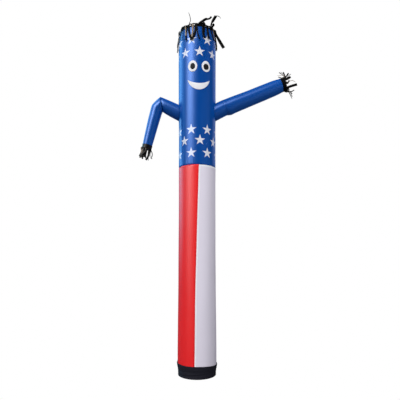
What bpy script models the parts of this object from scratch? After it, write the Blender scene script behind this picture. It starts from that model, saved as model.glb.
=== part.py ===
"""Inflatable air dancer: a standing cloth tube with a head fringe, two hollow arms and a base collar.

Metres, +Z up. The dancer faces -Y, and left and right are a viewer's in front of it: left is -X.
Every cloth piece is an open sheet, warped from a grid and then given its wall by Solidify.
"""

import math
import random

import bmesh
import bpy
from mathutils import Matrix, Vector

# Driving dimensions, in metres.
CLOTH = 0.002
SEAM_GAP = 0.0003
LAP_GAP = 0.0007
PATCH = 0.0012
PATCH_GAP = 0.0005
WAIST_HEIGHT = 1.688
RIM_HEIGHT = 2.848
CUFF_HEIGHT = 0.100
CUFF_DIP = 0.0135
STRIP_HEIGHT = 0.012
LIP = 0.003
BAND_LAP = 0.014
BAND_LENGTH = 0.036
RIBBON_THICKNESS = 0.0016

# Numbers of facets.
BODY_FACETS = 48
ARM_FACETS = 24
STRIP_FACETS = 96
MERGE = 0.00001

# The upper tube: (height, outer radius).
UPPER_TUBE = (
    (WAIST_HEIGHT, 0.1531),
    (1.900, 0.1540),
    (2.060, 0.1549),
    (2.274, 0.1564),
    (2.450, 0.1576),
    (2.625, 0.1587),
    (2.720, 0.1588),
    (2.790, 0.1560),
    (2.830, 0.1515),
    (RIM_HEIGHT, 0.1490),
)

# The rows of the upper tube between which the arms leave it.
ENVELOPE_ROWS = (2, 4)

# The lower tube: (height, outer radius, angle of the front seam in degrees from the front).
LOWER_TUBE = (
    (0.066, 0.1560, -7.1),
    (0.130, 0.1571, -6.7),
    (0.345, 0.1560, -5.9),
    (0.600, 0.1548, -5.1),
    (0.800, 0.1537, -3.6),
    (1.000, 0.1528, -1.6),
    (1.335, 0.1527, 1.9),
    (WAIST_HEIGHT - SEAM_GAP, 0.1531, 5.8),
)

# The base collar: (share of its height, outer radius).
CUFF = (
    (0.00, 0.1528),
    (0.12, 0.1528),
    (0.30, 0.1542),
    (0.48, 0.1554),
    (0.66, 0.1588),
    (0.80, 0.1613),
    (0.93, 0.1622),
    (1.00, 0.1614),
)

# Arm sections: (x of the upper point, its height, x of the lower point, its height, half depth).
# Upper is the arm's outer, top side and lower its inner, bottom side. The first lies inside the body.
RIGHT_SHOULDER = (
    (0.0705, 2.1998, 0.1295, 2.0783, 0.0675),
    (0.1700, 2.2484, 0.2250, 2.1279, 0.0668),
    (0.2035, 2.2645, 0.2560, 2.1440, 0.0662),
)
RIGHT_SLEEVE = (
    (0.2035, 2.2645, 0.2560, 2.1440, 0.0662),
    (0.2240, 2.2727, 0.2786, 2.1440, 0.0690),
    (0.2765, 2.2945, 0.3300, 2.1660, 0.0688),
    (0.3973, 2.3390, 0.4488, 2.2174, 0.0664),
    (0.5703, 2.4090, 0.6195, 2.2913, 0.0636),
    (0.6500, 2.4400, 0.6940, 2.3250, 0.0600),
    (0.7072, 2.4548, 0.7441, 2.3528, 0.0544),
)
LEFT_SHOULDER = (
    (-0.0640, 2.1870, -0.1220, 2.0740, 0.0625),
    (-0.1780, 2.2402, -0.2280, 2.1305, 0.0600),
    (-0.3100, 2.2990, -0.2922, 2.1690, 0.0575),
)
LEFT_SLEEVE = (
    (-0.3100, 2.2990, -0.2922, 2.1690, 0.0575),
    (-0.3860, 2.2200, -0.2975, 2.1580, 0.0545),
    (-0.3990, 2.1720, -0.3030, 2.1400, 0.0520),
    (-0.4163, 2.1000, -0.3180, 2.0920, 0.0495),
    (-0.4487, 1.9452, -0.3625, 1.9340, 0.0432),
    (-0.4608, 1.8801, -0.3834, 1.8604, 0.0392),
)

# Face patches: (side, angle from the front in degrees, height, half width, half height).
EYES = (
    ("left", -13.1, 2.498, 0.0416, 0.0485),
    ("right", 27.5, 2.500, 0.0416, 0.0500),
)
PUPILS = (
    ("left", -12.9, 2.4973, 0.0203, 0.0265),
    ("right", 27.3, 2.4970, 0.0208, 0.0260),
)
MOUTH_ANGLE = 5.5
MOUTH_CORNER_HEIGHT = 2.3884
MOUTH_HALF_WIDTH = 0.0945
LIP_SAG = 0.0330
JAW_SAG = 0.0860
JAW_FULLNESS = 0.70

# Hair ribbons that hang: how many of the strip's facets carry one, their lengths and their sway.
HAIR_STEP = 2
HAIR_SHARE = 0.86
HAIR_LENGTHS = (0.085, 0.135)
HAIR_SWAY = 0.0035
HAIR_CLEARANCE = 0.0045
HAIR_TIP_LIFT = 0.006
HAIR_ROWS = 5

# Where a hanging ribbon folds over the rim: (distance outwards, rise over the rim).
HAIR_FOLD = (
    (0.0004, 0.0039),
    (0.0030, 0.0065),
    (0.0070, 0.0045),
    (0.0086, -0.0060),
)

# Loose hair ribbons: (facet, then the sideways, outward and upward offset of the middle and of the tip).
LOOSE_HAIR = (
    (41, 0.006, -0.016, 0.060, -0.010, -0.010, 0.112),
    (49, 0.040, 0.000, 0.038, 0.100, 0.018, 0.062),
    (51, 0.022, 0.016, 0.026, 0.052, 0.018, 0.002),
    (61, 0.000, 0.046, 0.128, 0.022, 0.090, 0.074),
    (67, 0.008, 0.034, 0.000, 0.014, 0.080, -0.142),
    (3, 0.014, 0.010, 0.060, 0.050, 0.020, 0.090),
    (85, 0.010, 0.030, 0.050, 0.030, 0.060, 0.070),
)

# How ribbons that stand free leave their strip: straight length, rows, turn of each row, width of the tip.
LOOSE_START = 0.012
HAND_START = 0.008
HAND_REACH = 0.045
FREE_ROWS = 7
LOOSE_TURN = 0.12
HAND_TURN = 0.10
TIP_SHARE = 0.6

# Hand ribbons: (facet of the band, then the tip's reach along x, its reach towards the front, and its rise).
RIGHT_HAND_RIBBONS = (
    (0, -0.038, 0.008, 0.062),
    (2, 0.012, 0.018, 0.056),
    (4, 0.044, 0.030, 0.022),
    (6, 0.082, 0.030, 0.012),
    (8, 0.090, 0.040, -0.010),
    (10, 0.064, 0.030, -0.030),
    (12, 0.042, 0.008, -0.064),
    (14, 0.060, -0.020, -0.040),
    (16, 0.072, -0.046, -0.008),
    (18, 0.062, -0.050, 0.026),
    (20, 0.030, -0.032, 0.056),
    (22, -0.034, -0.020, 0.050),
)
LEFT_HAND_RIBBONS = (
    (0, -0.024, 0.004, -0.074),
    (2, -0.020, 0.014, -0.066),
    (4, -0.012, 0.018, -0.082),
    (6, -0.002, 0.016, -0.060),
    (8, 0.002, 0.010, -0.084),
    (10, 0.008, 0.004, -0.062),
    (12, 0.012, -0.006, -0.072),
    (14, 0.004, -0.012, -0.060),
    (16, -0.004, -0.018, -0.080),
    (18, -0.012, -0.020, -0.064),
    (20, -0.018, -0.014, -0.078),
    (22, -0.026, -0.008, -0.062),
)

# Colours: (name, colour, roughness).
BLUE = ("blue_nylon", (0.0, 0.085, 0.40, 1.0), 0.42)
RED = ("red_nylon", (0.72, 0.03, 0.035, 1.0), 0.45)
WHITE = ("white_nylon", (0.68, 0.66, 0.72, 1.0), 0.48)
PATCH_WHITE = ("white_patch", (0.85, 0.85, 0.88, 1.0), 0.50)
PATCH_BLACK = ("black_patch", (0.015, 0.015, 0.018, 1.0), 0.45)
CUFF_BLACK = ("black_cuff", (0.014, 0.014, 0.022, 1.0), 0.60)
RIBBON_BLACK = ("black_ribbon", (0.008, 0.008, 0.009, 1.0), 0.25)


def clear_scene():
    for obj in list(bpy.data.objects):
        bpy.data.objects.remove(obj, do_unlink=True)


def new_collection(name):
    collection = bpy.data.collections.new(name)
    bpy.context.scene.collection.children.link(collection)
    return collection


def material(look):
    name, colour, roughness = look
    found = bpy.data.materials.get(name)
    if found:
        return found
    made = bpy.data.materials.new(name)
    made.use_nodes = True
    shader = made.node_tree.nodes["Principled BSDF"]
    shader.inputs["Base Color"].default_value = colour
    shader.inputs["Roughness"].default_value = roughness
    shader.inputs["Metallic"].default_value = 0.0
    made.diffuse_color = colour
    return made


def finish_mesh(name, bm, collection, look):
    """Makes the object of a bmesh, shades it and links it."""
    mesh = bpy.data.meshes.new(name)
    bm.to_mesh(mesh)
    bm.free()
    mesh.shade_smooth()
    mesh.set_sharp_from_angle(angle=math.radians(35))
    obj = bpy.data.objects.new(name, mesh)
    collection.objects.link(obj)
    if look:
        mesh.materials.append(material(look))
    return obj


def sheet_mesh(columns, rows, shape, closed):
    """An open sheet: a grid whose point at (across, row) goes to shape(share across, row number)."""
    bm = bmesh.new()
    bmesh.ops.create_grid(bm, x_segments=columns, y_segments=rows, size=0.5)
    for vertex in bm.verts:
        across = vertex.co.x + 0.5
        row = (vertex.co.y + 0.5) * rows
        vertex.co = shape(across, row)
    if closed:
        bmesh.ops.remove_doubles(bm, verts=bm.verts, dist=MERGE)
    return bm


def thicken(obj, wall):
    """Gives the sheet its wall, inwards from its outer face."""
    modifier = obj.modifiers.new("wall", "SOLIDIFY")
    modifier.thickness = wall
    modifier.offset = -1.0
    modifier.use_even_offset = True


def cut(obj, cutter):
    modifier = obj.modifiers.new("cut " + cutter.name, "BOOLEAN")
    modifier.operation = "DIFFERENCE"
    modifier.solver = "EXACT"
    modifier.object = cutter


def as_cutter(obj):
    obj.hide_render = True
    obj.display_type = "WIRE"


def at_row(table, row):
    """A table's values at a row number that may lie between two rows."""
    low = min(int(round(row, 6)), len(table) - 2)
    part = row - low
    return [a + (b - a) * part for a, b in zip(table[low], table[low + 1])]


def radius_at(height):
    """The upper tube's outer radius at a height."""
    for (low, low_radius), (high, high_radius) in zip(UPPER_TUBE, UPPER_TUBE[1:]):
        if height <= high:
            return low_radius + (high_radius - low_radius) * (height - low) / (high - low)
    return UPPER_TUBE[-1][1]


def around(angle, radius, height):
    """The point at an angle from the front (-Y), counted towards +X."""
    return Vector((radius * math.sin(angle), -radius * math.cos(angle), height))


def upper_body(collection):
    def shape(across, row):
        height, radius = at_row(UPPER_TUBE, row)
        return around(across * math.tau, radius, height)

    bm = sheet_mesh(BODY_FACETS, len(UPPER_TUBE) - 1, shape, True)
    obj = finish_mesh("upper_body", bm, collection, BLUE)
    thicken(obj, CLOTH)
    return obj


def lower_panel(name, half, collection, look):
    """Half of the lower tube. Half 0 runs from the front seam round by +X to the back one, and 1 returns."""

    def shape(across, row):
        height, radius, seam = at_row(LOWER_TUBE, row)
        inset = SEAM_GAP / 2 / radius
        start = math.radians(seam) + half * math.pi + inset
        return around(start + across * (math.pi - 2 * inset), radius, height)

    bm = sheet_mesh(BODY_FACETS // 2, len(LOWER_TUBE) - 1, shape, False)
    obj = finish_mesh(name, bm, collection, look)
    thicken(obj, CLOTH)
    return obj


def base_cuff(collection):
    """The collar. Its top hem dips on the +X side, and its bottom hem is flat."""

    def shape(across, row):
        share, radius = at_row(CUFF, row)
        angle = across * math.tau
        dip = CUFF_DIP * max(0.0, math.sin(angle)) ** 2
        return around(angle, radius, share * (CUFF_HEIGHT - dip))

    bm = sheet_mesh(BODY_FACETS, len(CUFF) - 1, shape, True)
    obj = finish_mesh("base_cuff", bm, collection, CUFF_BLACK)
    thicken(obj, CLOTH)
    return obj


def section(row, inset=0.0):
    """An arm section's centre, its half height as a vector and its half depth, all less the inset."""
    upper_x, upper_z, lower_x, lower_z, depth = row
    upper = Vector((upper_x, 0.0, upper_z))
    lower = Vector((lower_x, 0.0, lower_z))
    half = (upper - lower) / 2
    half *= (half.length - inset) / half.length
    return (upper + lower) / 2, half, depth - inset


def arm_point(table, angle, row, inset=0.0):
    """A point of the arm's skin. Angle 0 is its upper side, and a quarter turn is its front."""
    centre, half, depth = section(at_row(table, row), inset)
    return centre + half * math.cos(angle) + Vector((0.0, -depth, 0.0)) * math.sin(angle)


def side_of(table):
    return 1.0 if table[0][0] > 0 else -1.0


def across_section(row, side):
    """The direction in which the arm passes through a section, square to the section's plane."""
    half = section(row)[1].normalized()
    return half.cross(Vector((0.0, -1.0, 0.0))) * side


def moved(row, step):
    """A section moved without turning."""
    upper_x, upper_z, lower_x, lower_z, depth = row
    return (upper_x + step.x, upper_z + step.z, lower_x + step.x, lower_z + step.z, depth)


def with_lips(table, side):
    """The arm's sections with a short square lip at each end, and the seam's gap left at the first."""
    first, last = table[0], table[-1]
    onward = across_section(first, side)
    outward = across_section(last, side)
    start = [moved(first, onward * SEAM_GAP), moved(first, onward * (SEAM_GAP + LIP))]
    end = [moved(last, outward * -LIP), last]
    return start + list(table[1:-1]) + end


def arm_tube(name, table, collection):
    side = side_of(table)
    rows = with_lips(table, side)

    def shape(across, row):
        return arm_point(rows, side * across * math.tau, row)

    bm = sheet_mesh(ARM_FACETS, len(rows) - 1, shape, True)
    obj = finish_mesh(name, bm, collection, BLUE)
    thicken(obj, CLOTH)
    return obj


def armhole_cutter(name, table, collection):
    """The air passage through the body's wall: the inside of the arm's root, capped."""
    side = side_of(table)

    def shape(across, row):
        return arm_point(table, side * across * math.tau, row, CLOTH)

    bm = sheet_mesh(ARM_FACETS, 1, shape, True)
    bmesh.ops.holes_fill(bm, edges=bm.edges)
    bmesh.ops.recalc_face_normals(bm, faces=bm.faces)
    obj = finish_mesh(name, bm, collection, None)
    as_cutter(obj)
    return obj


def body_envelope(collection):
    """The upper tube's outer form, a seam's gap larger, to which the arm roots are cut."""
    low, high = ENVELOPE_ROWS

    def shape(across, row):
        height, radius = at_row(UPPER_TUBE, low + row)
        return around(across * math.tau, radius + SEAM_GAP, height)

    bm = sheet_mesh(BODY_FACETS, high - low, shape, True)
    bmesh.ops.holes_fill(bm, edges=bm.edges)
    bmesh.ops.recalc_face_normals(bm, faces=bm.faces)
    obj = finish_mesh("body_envelope", bm, collection, None)
    as_cutter(obj)
    return obj


def patch(name, angle, gap, outline, columns, rows, collection, look):
    """A patch sewn to the head: outline(share across) gives its sideways place, bottom and top height."""

    def shape(across, row):
        sideways, bottom, top = outline(across)
        height = bottom + (top - bottom) * row / rows
        radius = radius_at(height)
        return around(math.radians(angle) + sideways / radius, radius + gap + PATCH, height)

    bm = sheet_mesh(columns, rows, shape, True)
    obj = finish_mesh(name, bm, collection, look)
    thicken(obj, PATCH)
    return obj


def oval(height, half_width, half_height):
    def outline(across):
        turn = math.pi * across
        rise = half_height * math.sin(turn)
        return -half_width * math.cos(turn), height - rise, height + rise

    return outline


def mouth_outline(across):
    place = -math.cos(math.pi * across)
    fullness = max(0.0, 1.0 - place * place)
    top = MOUTH_CORNER_HEIGHT - LIP_SAG * fullness
    bottom = MOUTH_CORNER_HEIGHT - JAW_SAG * fullness**JAW_FULLNESS
    return MOUTH_HALF_WIDTH * place, bottom, top


def face(collection):
    for name, angle, height, half_width, half_height in EYES:
        outline = oval(height, half_width, half_height)
        patch("eye_" + name, angle, PATCH_GAP, outline, 18, 3, collection, PATCH_WHITE)
    over_eye = PATCH_GAP + PATCH + SEAM_GAP
    for name, angle, height, half_width, half_height in PUPILS:
        outline = oval(height, half_width, half_height)
        patch("pupil_" + name, angle, over_eye, outline, 14, 2, collection, PATCH_BLACK)
    patch("mouth", MOUTH_ANGLE, PATCH_GAP, mouth_outline, 24, 2, collection, PATCH_WHITE)


def corner_side(vertex, centre, direction):
    return math.copysign(1.0, (vertex.co - centre).dot(direction))


def grow_ribbon(bm, root, path, turn):
    """Draws a strip's root face out along the path as a flat ribbon, turning a little with every step."""
    centre = root.calc_center_median()
    longest = max(root.edges, key=lambda edge: edge.calc_length())
    across = (longest.verts[1].co - longest.verts[0].co).normalized()
    flat = root.normal.cross(across)
    width = longest.calc_length() / 2
    points = [centre] + list(path)
    face = bmesh.ops.extrude_discrete_faces(bm, faces=[root])["faces"][0]
    corners = [
        (corner_side(vertex, centre, across), corner_side(vertex, centre, flat))
        for vertex in face.verts
    ]
    last = len(points) - 1
    for index in range(1, last + 1):
        if index > 1:
            face = bmesh.ops.extrude_discrete_faces(bm, faces=[face])["faces"][0]
        ahead = (points[min(index + 1, last)] - points[index - 1]).normalized()
        across = (across - ahead * across.dot(ahead)).normalized()
        across = Matrix.Rotation(turn, 3, ahead) @ across
        flat = ahead.cross(across)
        half_width = width * (TIP_SHARE if index == last else 1.0)
        for vertex, (side, layer) in zip(face.verts, corners):
            vertex.co = points[index] + across * side * half_width + flat * layer * RIBBON_THICKNESS / 2


def bezier(start, middle, end):
    """Points after the start along a curve that a middle handle pulls."""
    shares = [step / FREE_ROWS for step in range(1, FREE_ROWS + 1)]
    return [start * (1 - t) ** 2 + middle * 2 * t * (1 - t) + end * t**2 for t in shares]


def hanging_hair(angle, start, length, sway):
    """A ribbon that rises from the rim, folds over and hangs down the head."""
    rim = start.xy.length
    path = [around(angle, rim + out, start.z + rise) for out, rise in HAIR_FOLD]
    top = path[-1].z
    clear = path[-1].xy.length - radius_at(top)
    for step in range(1, HAIR_ROWS + 1):
        share = step / HAIR_ROWS
        height = top - length * share
        settled = min(1.0, share * 2.0)
        lift = clear + (HAIR_CLEARANCE - clear) * settled + HAIR_TIP_LIFT * share * share
        radius = radius_at(height) + lift
        path.append(around(angle + sway * share**1.5 / radius, radius, height))
    return path


def tube_strip(columns, shape):
    """A closed band with its wall, built outwards, as a mesh whose faces ribbons can grow from."""
    bm = sheet_mesh(columns, 1, shape, True)
    bmesh.ops.recalc_face_normals(bm, faces=bm.faces)
    bmesh.ops.solidify(bm, geom=bm.faces[:], thickness=-CLOTH)
    bmesh.ops.recalc_face_normals(bm, faces=bm.faces)
    return bm


def end_faces(bm, direction):
    """The faces of the band's end that look along a direction, from facet 0 round."""
    bm.faces.ensure_lookup_table()
    return [face for face in bm.faces if face.normal.dot(direction) > 0.9]


def head_fringe(collection):
    rng = random.Random(11)
    top = RIM_HEIGHT + CLOTH / 4

    def shape(across, row):
        height = top - STRIP_HEIGHT * (1 - row)
        radius = radius_at(height) + LAP_GAP
        return around((across - 0.5) * math.tau, radius, height)

    bm = tube_strip(STRIP_FACETS, shape)
    roots = {}
    for root in end_faces(bm, Vector((0, 0, 1))):
        place = root.calc_center_median()
        angle = math.atan2(place.x, -place.y)
        roots[int((angle + math.pi) / math.tau * STRIP_FACETS)] = root
    loose = {row[0] for row in LOOSE_HAIR}
    for facet in sorted(roots):
        angle = (facet + 0.5) / STRIP_FACETS * math.tau - math.pi
        start = roots[facet].calc_center_median()
        length = rng.uniform(*HAIR_LENGTHS)
        sway = rng.uniform(-HAIR_SWAY, HAIR_SWAY)
        kept = rng.random() < HAIR_SHARE
        if facet in loose or facet % HAIR_STEP == 0 or not kept:
            continue
        grow_ribbon(bm, roots[facet], hanging_hair(angle, start, length, sway), 0.0)
    for facet, side, out, up, tip_side, tip_out, tip_up in LOOSE_HAIR:
        angle = (facet + 0.5) / STRIP_FACETS * math.tau - math.pi
        start = roots[facet].calc_center_median()
        sideways = around(angle + math.pi / 2, 1.0, 0.0)
        outward = around(angle, 1.0, 0.0)
        lift = start + Vector((0, 0, LOOSE_START))
        middle = start + sideways * side + outward * out + Vector((0, 0, up))
        end = start + sideways * tip_side + outward * tip_out + Vector((0, 0, tip_up))
        grow_ribbon(bm, roots[facet], [lift] + bezier(lift, middle, end), LOOSE_TURN)
    return finish_mesh("head_fringe", bm, collection, RIBBON_BLACK)


def hand_fringe(name, table, ribbons, collection):
    """A band that laps the sleeve's end, with ribbons drawn out of its far edge."""
    centre, half, depth = section(table[-1])
    before, before_half, _ = section(table[-2])
    widening = (before_half.length - half.length) / (centre - before).length
    up = half.normalized()
    front = Vector((0.0, -1.0, 0.0))
    axis = across_section(table[-1], side_of(table))

    def shape(across, row):
        turn = across * math.tau
        along = BAND_LENGTH * row - BAND_LAP
        spread = LAP_GAP + widening * max(0.0, -along)
        high = up * math.cos(turn) * (half.length + spread)
        deep = front * math.sin(turn) * (depth + spread)
        return centre + axis * along + high + deep

    bm = tube_strip(ARM_FACETS, shape)
    roots = {}
    for root in end_faces(bm, axis):
        place = root.calc_center_median() - centre
        turn = math.atan2(place.dot(front), place.dot(up)) % math.tau
        roots[int(turn / math.tau * ARM_FACETS)] = root
    for facet, reach, forward, rise in ribbons:
        start = roots[facet].calc_center_median()
        end = start + Vector((reach, -forward, rise))
        lift = start + axis * HAND_START
        middle = start + axis * HAND_REACH
        grow_ribbon(bm, roots[facet], [lift] + bezier(lift, middle, end), HAND_TURN)
    return finish_mesh(name, bm, collection, RIBBON_BLACK)


def centre_on_origin(objects):
    """Parents every piece to one empty that puts the middle of their common box over the origin."""
    bpy.context.view_layer.update()
    graph = bpy.context.evaluated_depsgraph_get()
    low = Vector((math.inf,) * 3)
    high = Vector((-math.inf,) * 3)
    for obj in objects:
        mesh = obj.evaluated_get(graph).to_mesh()
        for vertex in mesh.vertices:
            low = Vector(map(min, low, vertex.co))
            high = Vector(map(max, high, vertex.co))
        obj.evaluated_get(graph).to_mesh_clear()
    holder = bpy.data.objects.new("air_dancer_origin", None)
    bpy.context.scene.collection.objects.link(holder)
    middle = (low + high) / 2
    holder.location = (-middle.x, -middle.y, 0.0)
    for obj in objects:
        obj.parent = holder


def main():
    clear_scene()
    parts = new_collection("inflatable_air_dancer")
    cutters = new_collection("cutters")
    body = upper_body(parts)
    lower_panel("lower_white", 0, parts, WHITE)
    lower_panel("lower_red", 1, parts, RED)
    base_cuff(parts)
    envelope = body_envelope(cutters)
    for side, shoulder, sleeve in (
        ("left", LEFT_SHOULDER, LEFT_SLEEVE),
        ("right", RIGHT_SHOULDER, RIGHT_SLEEVE),
    ):
        root = arm_tube(side + "_shoulder", shoulder, parts)
        cut(root, envelope)
        arm_tube(side + "_sleeve", sleeve, parts)
        cut(body, armhole_cutter(side + "_armhole", shoulder, cutters))
    face(parts)
    head_fringe(parts)
    hand_fringe("left_hand_fringe", LEFT_SLEEVE, LEFT_HAND_RIBBONS, parts)
    hand_fringe("right_hand_fringe", RIGHT_SLEEVE, RIGHT_HAND_RIBBONS, parts)
    centre_on_origin(list(parts.objects) + list(cutters.objects))


main()
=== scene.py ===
import bisect
import random
from math import atan2, cos, degrees, exp, hypot, pi, radians, sin, sqrt, tau

import bmesh
import bpy
from mathutils import Matrix, Vector, noise


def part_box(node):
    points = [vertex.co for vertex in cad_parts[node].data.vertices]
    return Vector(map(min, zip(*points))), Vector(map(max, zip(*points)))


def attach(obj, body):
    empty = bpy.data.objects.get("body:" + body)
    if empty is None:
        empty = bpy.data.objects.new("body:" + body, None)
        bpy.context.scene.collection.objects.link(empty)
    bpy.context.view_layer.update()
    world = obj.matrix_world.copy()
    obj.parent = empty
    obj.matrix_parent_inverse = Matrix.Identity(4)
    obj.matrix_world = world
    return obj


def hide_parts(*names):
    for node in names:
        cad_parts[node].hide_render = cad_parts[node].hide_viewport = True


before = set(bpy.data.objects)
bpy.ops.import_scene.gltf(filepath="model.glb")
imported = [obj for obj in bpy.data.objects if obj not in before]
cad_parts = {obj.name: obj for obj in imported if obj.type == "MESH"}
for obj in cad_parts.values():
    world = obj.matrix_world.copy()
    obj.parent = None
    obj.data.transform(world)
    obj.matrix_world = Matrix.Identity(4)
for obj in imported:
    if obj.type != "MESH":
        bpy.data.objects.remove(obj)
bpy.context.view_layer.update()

scene = bpy.context.scene
print("frame loaded,", len(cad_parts), "nodes")

# The tube's own axis. Every piece is shaped about it, and moved there at the end.
lowCorner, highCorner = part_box("upper_body")
tubeAxis = (Vector(lowCorner) + Vector(highCorner)) / 2
tubeAxis.z = 0.0


# camera, about a third of the way up the dancer
view = {
    "place": (0.0242, -3.32, 1.002),
    "pitch": 4.0,
    "lens": 36.0,
    "sensor": 36.0,
    "shift": 0.055,
}
camera = bpy.data.objects.new("camera", bpy.data.cameras.new("camera"))
camera.data.lens = view["lens"]
camera.data.sensor_width = view["sensor"]
camera.data.shift_y = view["shift"]
camera.data.dof.use_dof = False
camera.location = tubeAxis + Vector(view["place"])
camera.rotation_euler = (radians(90 + view["pitch"]), 0.0, 0.0)
scene.collection.objects.link(camera)
scene.camera = camera


# small helpers
def around(angle, radius, height):
    # a point at an angle from the front, counted towards +X
    return Vector((radius * sin(angle), -radius * cos(angle), height))


def bell(distance, width):
    return exp(-((distance / width) ** 2))


def dent(shape, away):
    # shape is its depth and width
    return shape[0] * bell(away, shape[1])


def turnBetween(angle, other):
    # the shorter turn from one angle to another
    return (angle - other + pi) % tau - pi


def curveThrough(rows):
    # a smooth curve through a table whose first column is the place along it
    places = [row[0] for row in rows]
    columns = [list(column) for column in zip(*rows)][1:]
    gaps = [b - a for a, b in zip(places, places[1:])]
    slopes = []
    for column in columns:
        rises = [(b - a) / gap for a, b, gap in zip(column, column[1:], gaps)]
        inner = [0.0 if a * b <= 0 else 2 * a * b / (a + b) for a, b in zip(rises, rises[1:])]
        slopes.append([rises[0]] + inner + [rises[-1]])

    def at(place):
        place = min(max(place, places[0]), places[-1])
        i = min(bisect.bisect_right(places, place) - 1, len(gaps) - 1)
        gap = gaps[i]
        t = (place - places[i]) / gap
        near, far = (1 + 2 * t) * (1 - t) ** 2, t * t * (3 - 2 * t)
        leave, meet = t * (1 - t) ** 2 * gap, t * t * (t - 1) * gap
        return [
            near * column[i] + leave * slope[i] + far * column[i + 1] + meet * slope[i + 1]
            for column, slope in zip(columns, slopes)
        ]

    return at


def clothGrid(bm, columns, rows, place, pattern):
    # a flat grid bent to place(across, up), with its cloth pattern laid out in metres
    cloth = bm.loops.layers.uv.active or bm.loops.layers.uv.new("cloth")
    made = bmesh.ops.create_grid(bm, x_segments=columns, y_segments=rows, size=0.5)["verts"]
    shares = {vert: (vert.co.x + 0.5, vert.co.y + 0.5) for vert in made}
    for face in {face for vert in made for face in vert.link_faces}:
        for loop in face.loops:
            loop[cloth].uv = pattern(*shares[loop.vert])
    for vert, share in shares.items():
        vert.co = place(*share)


def closeSeam(bm):
    bmesh.ops.remove_doubles(bm, verts=bm.verts, dist=0.00001)


def finishPiece(name, bm, material, slot, node=None, wall=0.0, smooth=True):
    # moves the piece to the tube's axis, shades it and gives it its place in the frame;
    # node is the solid's node that it stands for
    bmesh.ops.translate(bm, verts=bm.verts, vec=tubeAxis)
    mesh = bpy.data.meshes.new(name)
    bm.to_mesh(mesh)
    bm.free()
    if smooth:
        mesh.shade_smooth()
    mesh.materials.append(material)
    piece = bpy.data.objects.new(name, mesh)
    scene.collection.objects.link(piece)
    if wall:
        solidify = piece.modifiers.new("wall", "SOLIDIFY")
        solidify.thickness = wall
        solidify.offset = -1.0
        solidify.use_even_offset = True
    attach(piece, "root")
    if node:
        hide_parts(node)
    return piece


def layCloth(name, grid, place, pattern, finish, flat, closed=True, cut=None, **more):
    # one sheet of cloth; flat, its flat size, is not used; finish is what finishPiece needs past the mesh,
    # and cut opens the sheet where another piece leaves it
    bm = bmesh.new()
    clothGrid(bm, *grid, place, pattern)
    if closed:
        closeSeam(bm)
    if cut:
        cut(bm)
    finishPiece(name, bm, *finish)


# shader groups
def feed(tree, node, **inputs):
    # gives a node's sockets, by name or as i and a number, their values or sources
    for key, value in inputs.items():
        numbered = key[0] == "i" and key[1:].isdigit()
        socket = node.inputs[int(key[1:]) if numbered else key.replace("_", " ")]
        if isinstance(value, bpy.types.NodeSocket):
            tree.links.new(value, socket)
        else:
            socket.default_value = value


def addNode(tree, kind, settings=None, **inputs):
    node = tree.nodes.new("ShaderNode" + kind)
    for key, value in (settings or {}).items():
        setattr(node, key, value)
    feed(tree, node, **inputs)
    return node


def calc(tree, operation, *values, clamp=False):
    settings = {"operation": operation, "use_clamp": clamp}
    sources = {"i" + str(index): value for index, value in enumerate(values)}
    return addNode(tree, "Math", settings, **sources).outputs[0]


def ramp(tree, value, low, high, start=0.0, end=1.0, kind="LINEAR"):
    settings = {"interpolation_type": kind}
    limits = {"From_Min": low, "From_Max": high, "To_Min": start, "To_Max": end}
    return addNode(tree, "MapRange", settings, Value=value, **limits).outputs[0]


def noiseAt(tree, place, scale, detail, **more):
    node = addNode(tree, "TexNoise", Vector=place, Scale=scale, Detail=detail, **more)
    return node.outputs[0]


def bumpFrom(tree, height, strength, depth, **more):
    node = addNode(tree, "Bump", Height=height, Strength=strength, Distance=depth, **more)
    return node.outputs[0]


def split(tree, vector):
    return addNode(tree, "SeparateXYZ", Vector=vector).outputs


def newGroup(name, takes, gives):
    # takes: labels of the inputs with their values, or None for a vector; gives: labels of the outputs
    group = bpy.data.node_groups.new(name, "ShaderNodeTree")
    for label, value in takes.items():
        kind = "NodeSocketVector" if value is None else "NodeSocketFloat"
        socket = group.interface.new_socket(name=label, in_out="INPUT", socket_type=kind)
        if value is not None:
            socket.default_value = value
    for label in gives:
        group.interface.new_socket(name=label, in_out="OUTPUT", socket_type="NodeSocketFloat")
    start = group.nodes.new("NodeGroupInput")
    end = group.nodes.new("NodeGroupOutput")
    return group, start.outputs, end.inputs


def placeGroup(tree, group, **inputs):
    return addNode(tree, "Group", {"node_tree": group}, **inputs).outputs


weavePattern = {
    "thread": 0.0008,
    "rib": 0.006,
    "ribShare": 0.07,  # half a rib's width over the rib spacing
    "ground": 0.35,
    "threadHeight": 0.3,
    "ribHeight": 0.35,
}


def makeWeave():
    # fine plain weave with the thicker threads that stop a rip
    sizes = {"Thread": weavePattern["thread"], "Rib": weavePattern["rib"]}
    group, given, out = newGroup("rip stop weave", {"Cloth": None, **sizes}, ("Height", "Rib Mask"))
    apart = split(group, given["Cloth"])
    waves, ribs = [], []
    for axis in (0, 1):
        turns = calc(group, "DIVIDE", apart[axis], given["Thread"])
        waves.append(calc(group, "SINE", calc(group, "MULTIPLY", turns, tau)))
        share = calc(group, "FRACT", calc(group, "DIVIDE", apart[axis], given["Rib"]))
        offRib = calc(group, "ABSOLUTE", calc(group, "SUBTRACT", share, 0.5))
        ribs.append(calc(group, "LESS_THAN", offRib, weavePattern["ribShare"]))
    crossed = calc(group, "MULTIPLY", waves[0], waves[1])
    weave = calc(group, "MULTIPLY_ADD", crossed, weavePattern["threadHeight"], weavePattern["ground"])
    rib = calc(group, "MAXIMUM", ribs[0], ribs[1])
    group.links.new(calc(group, "MULTIPLY_ADD", rib, weavePattern["ribHeight"], weave), out["Height"])
    group.links.new(rib, out["Rib Mask"])
    return group


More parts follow.
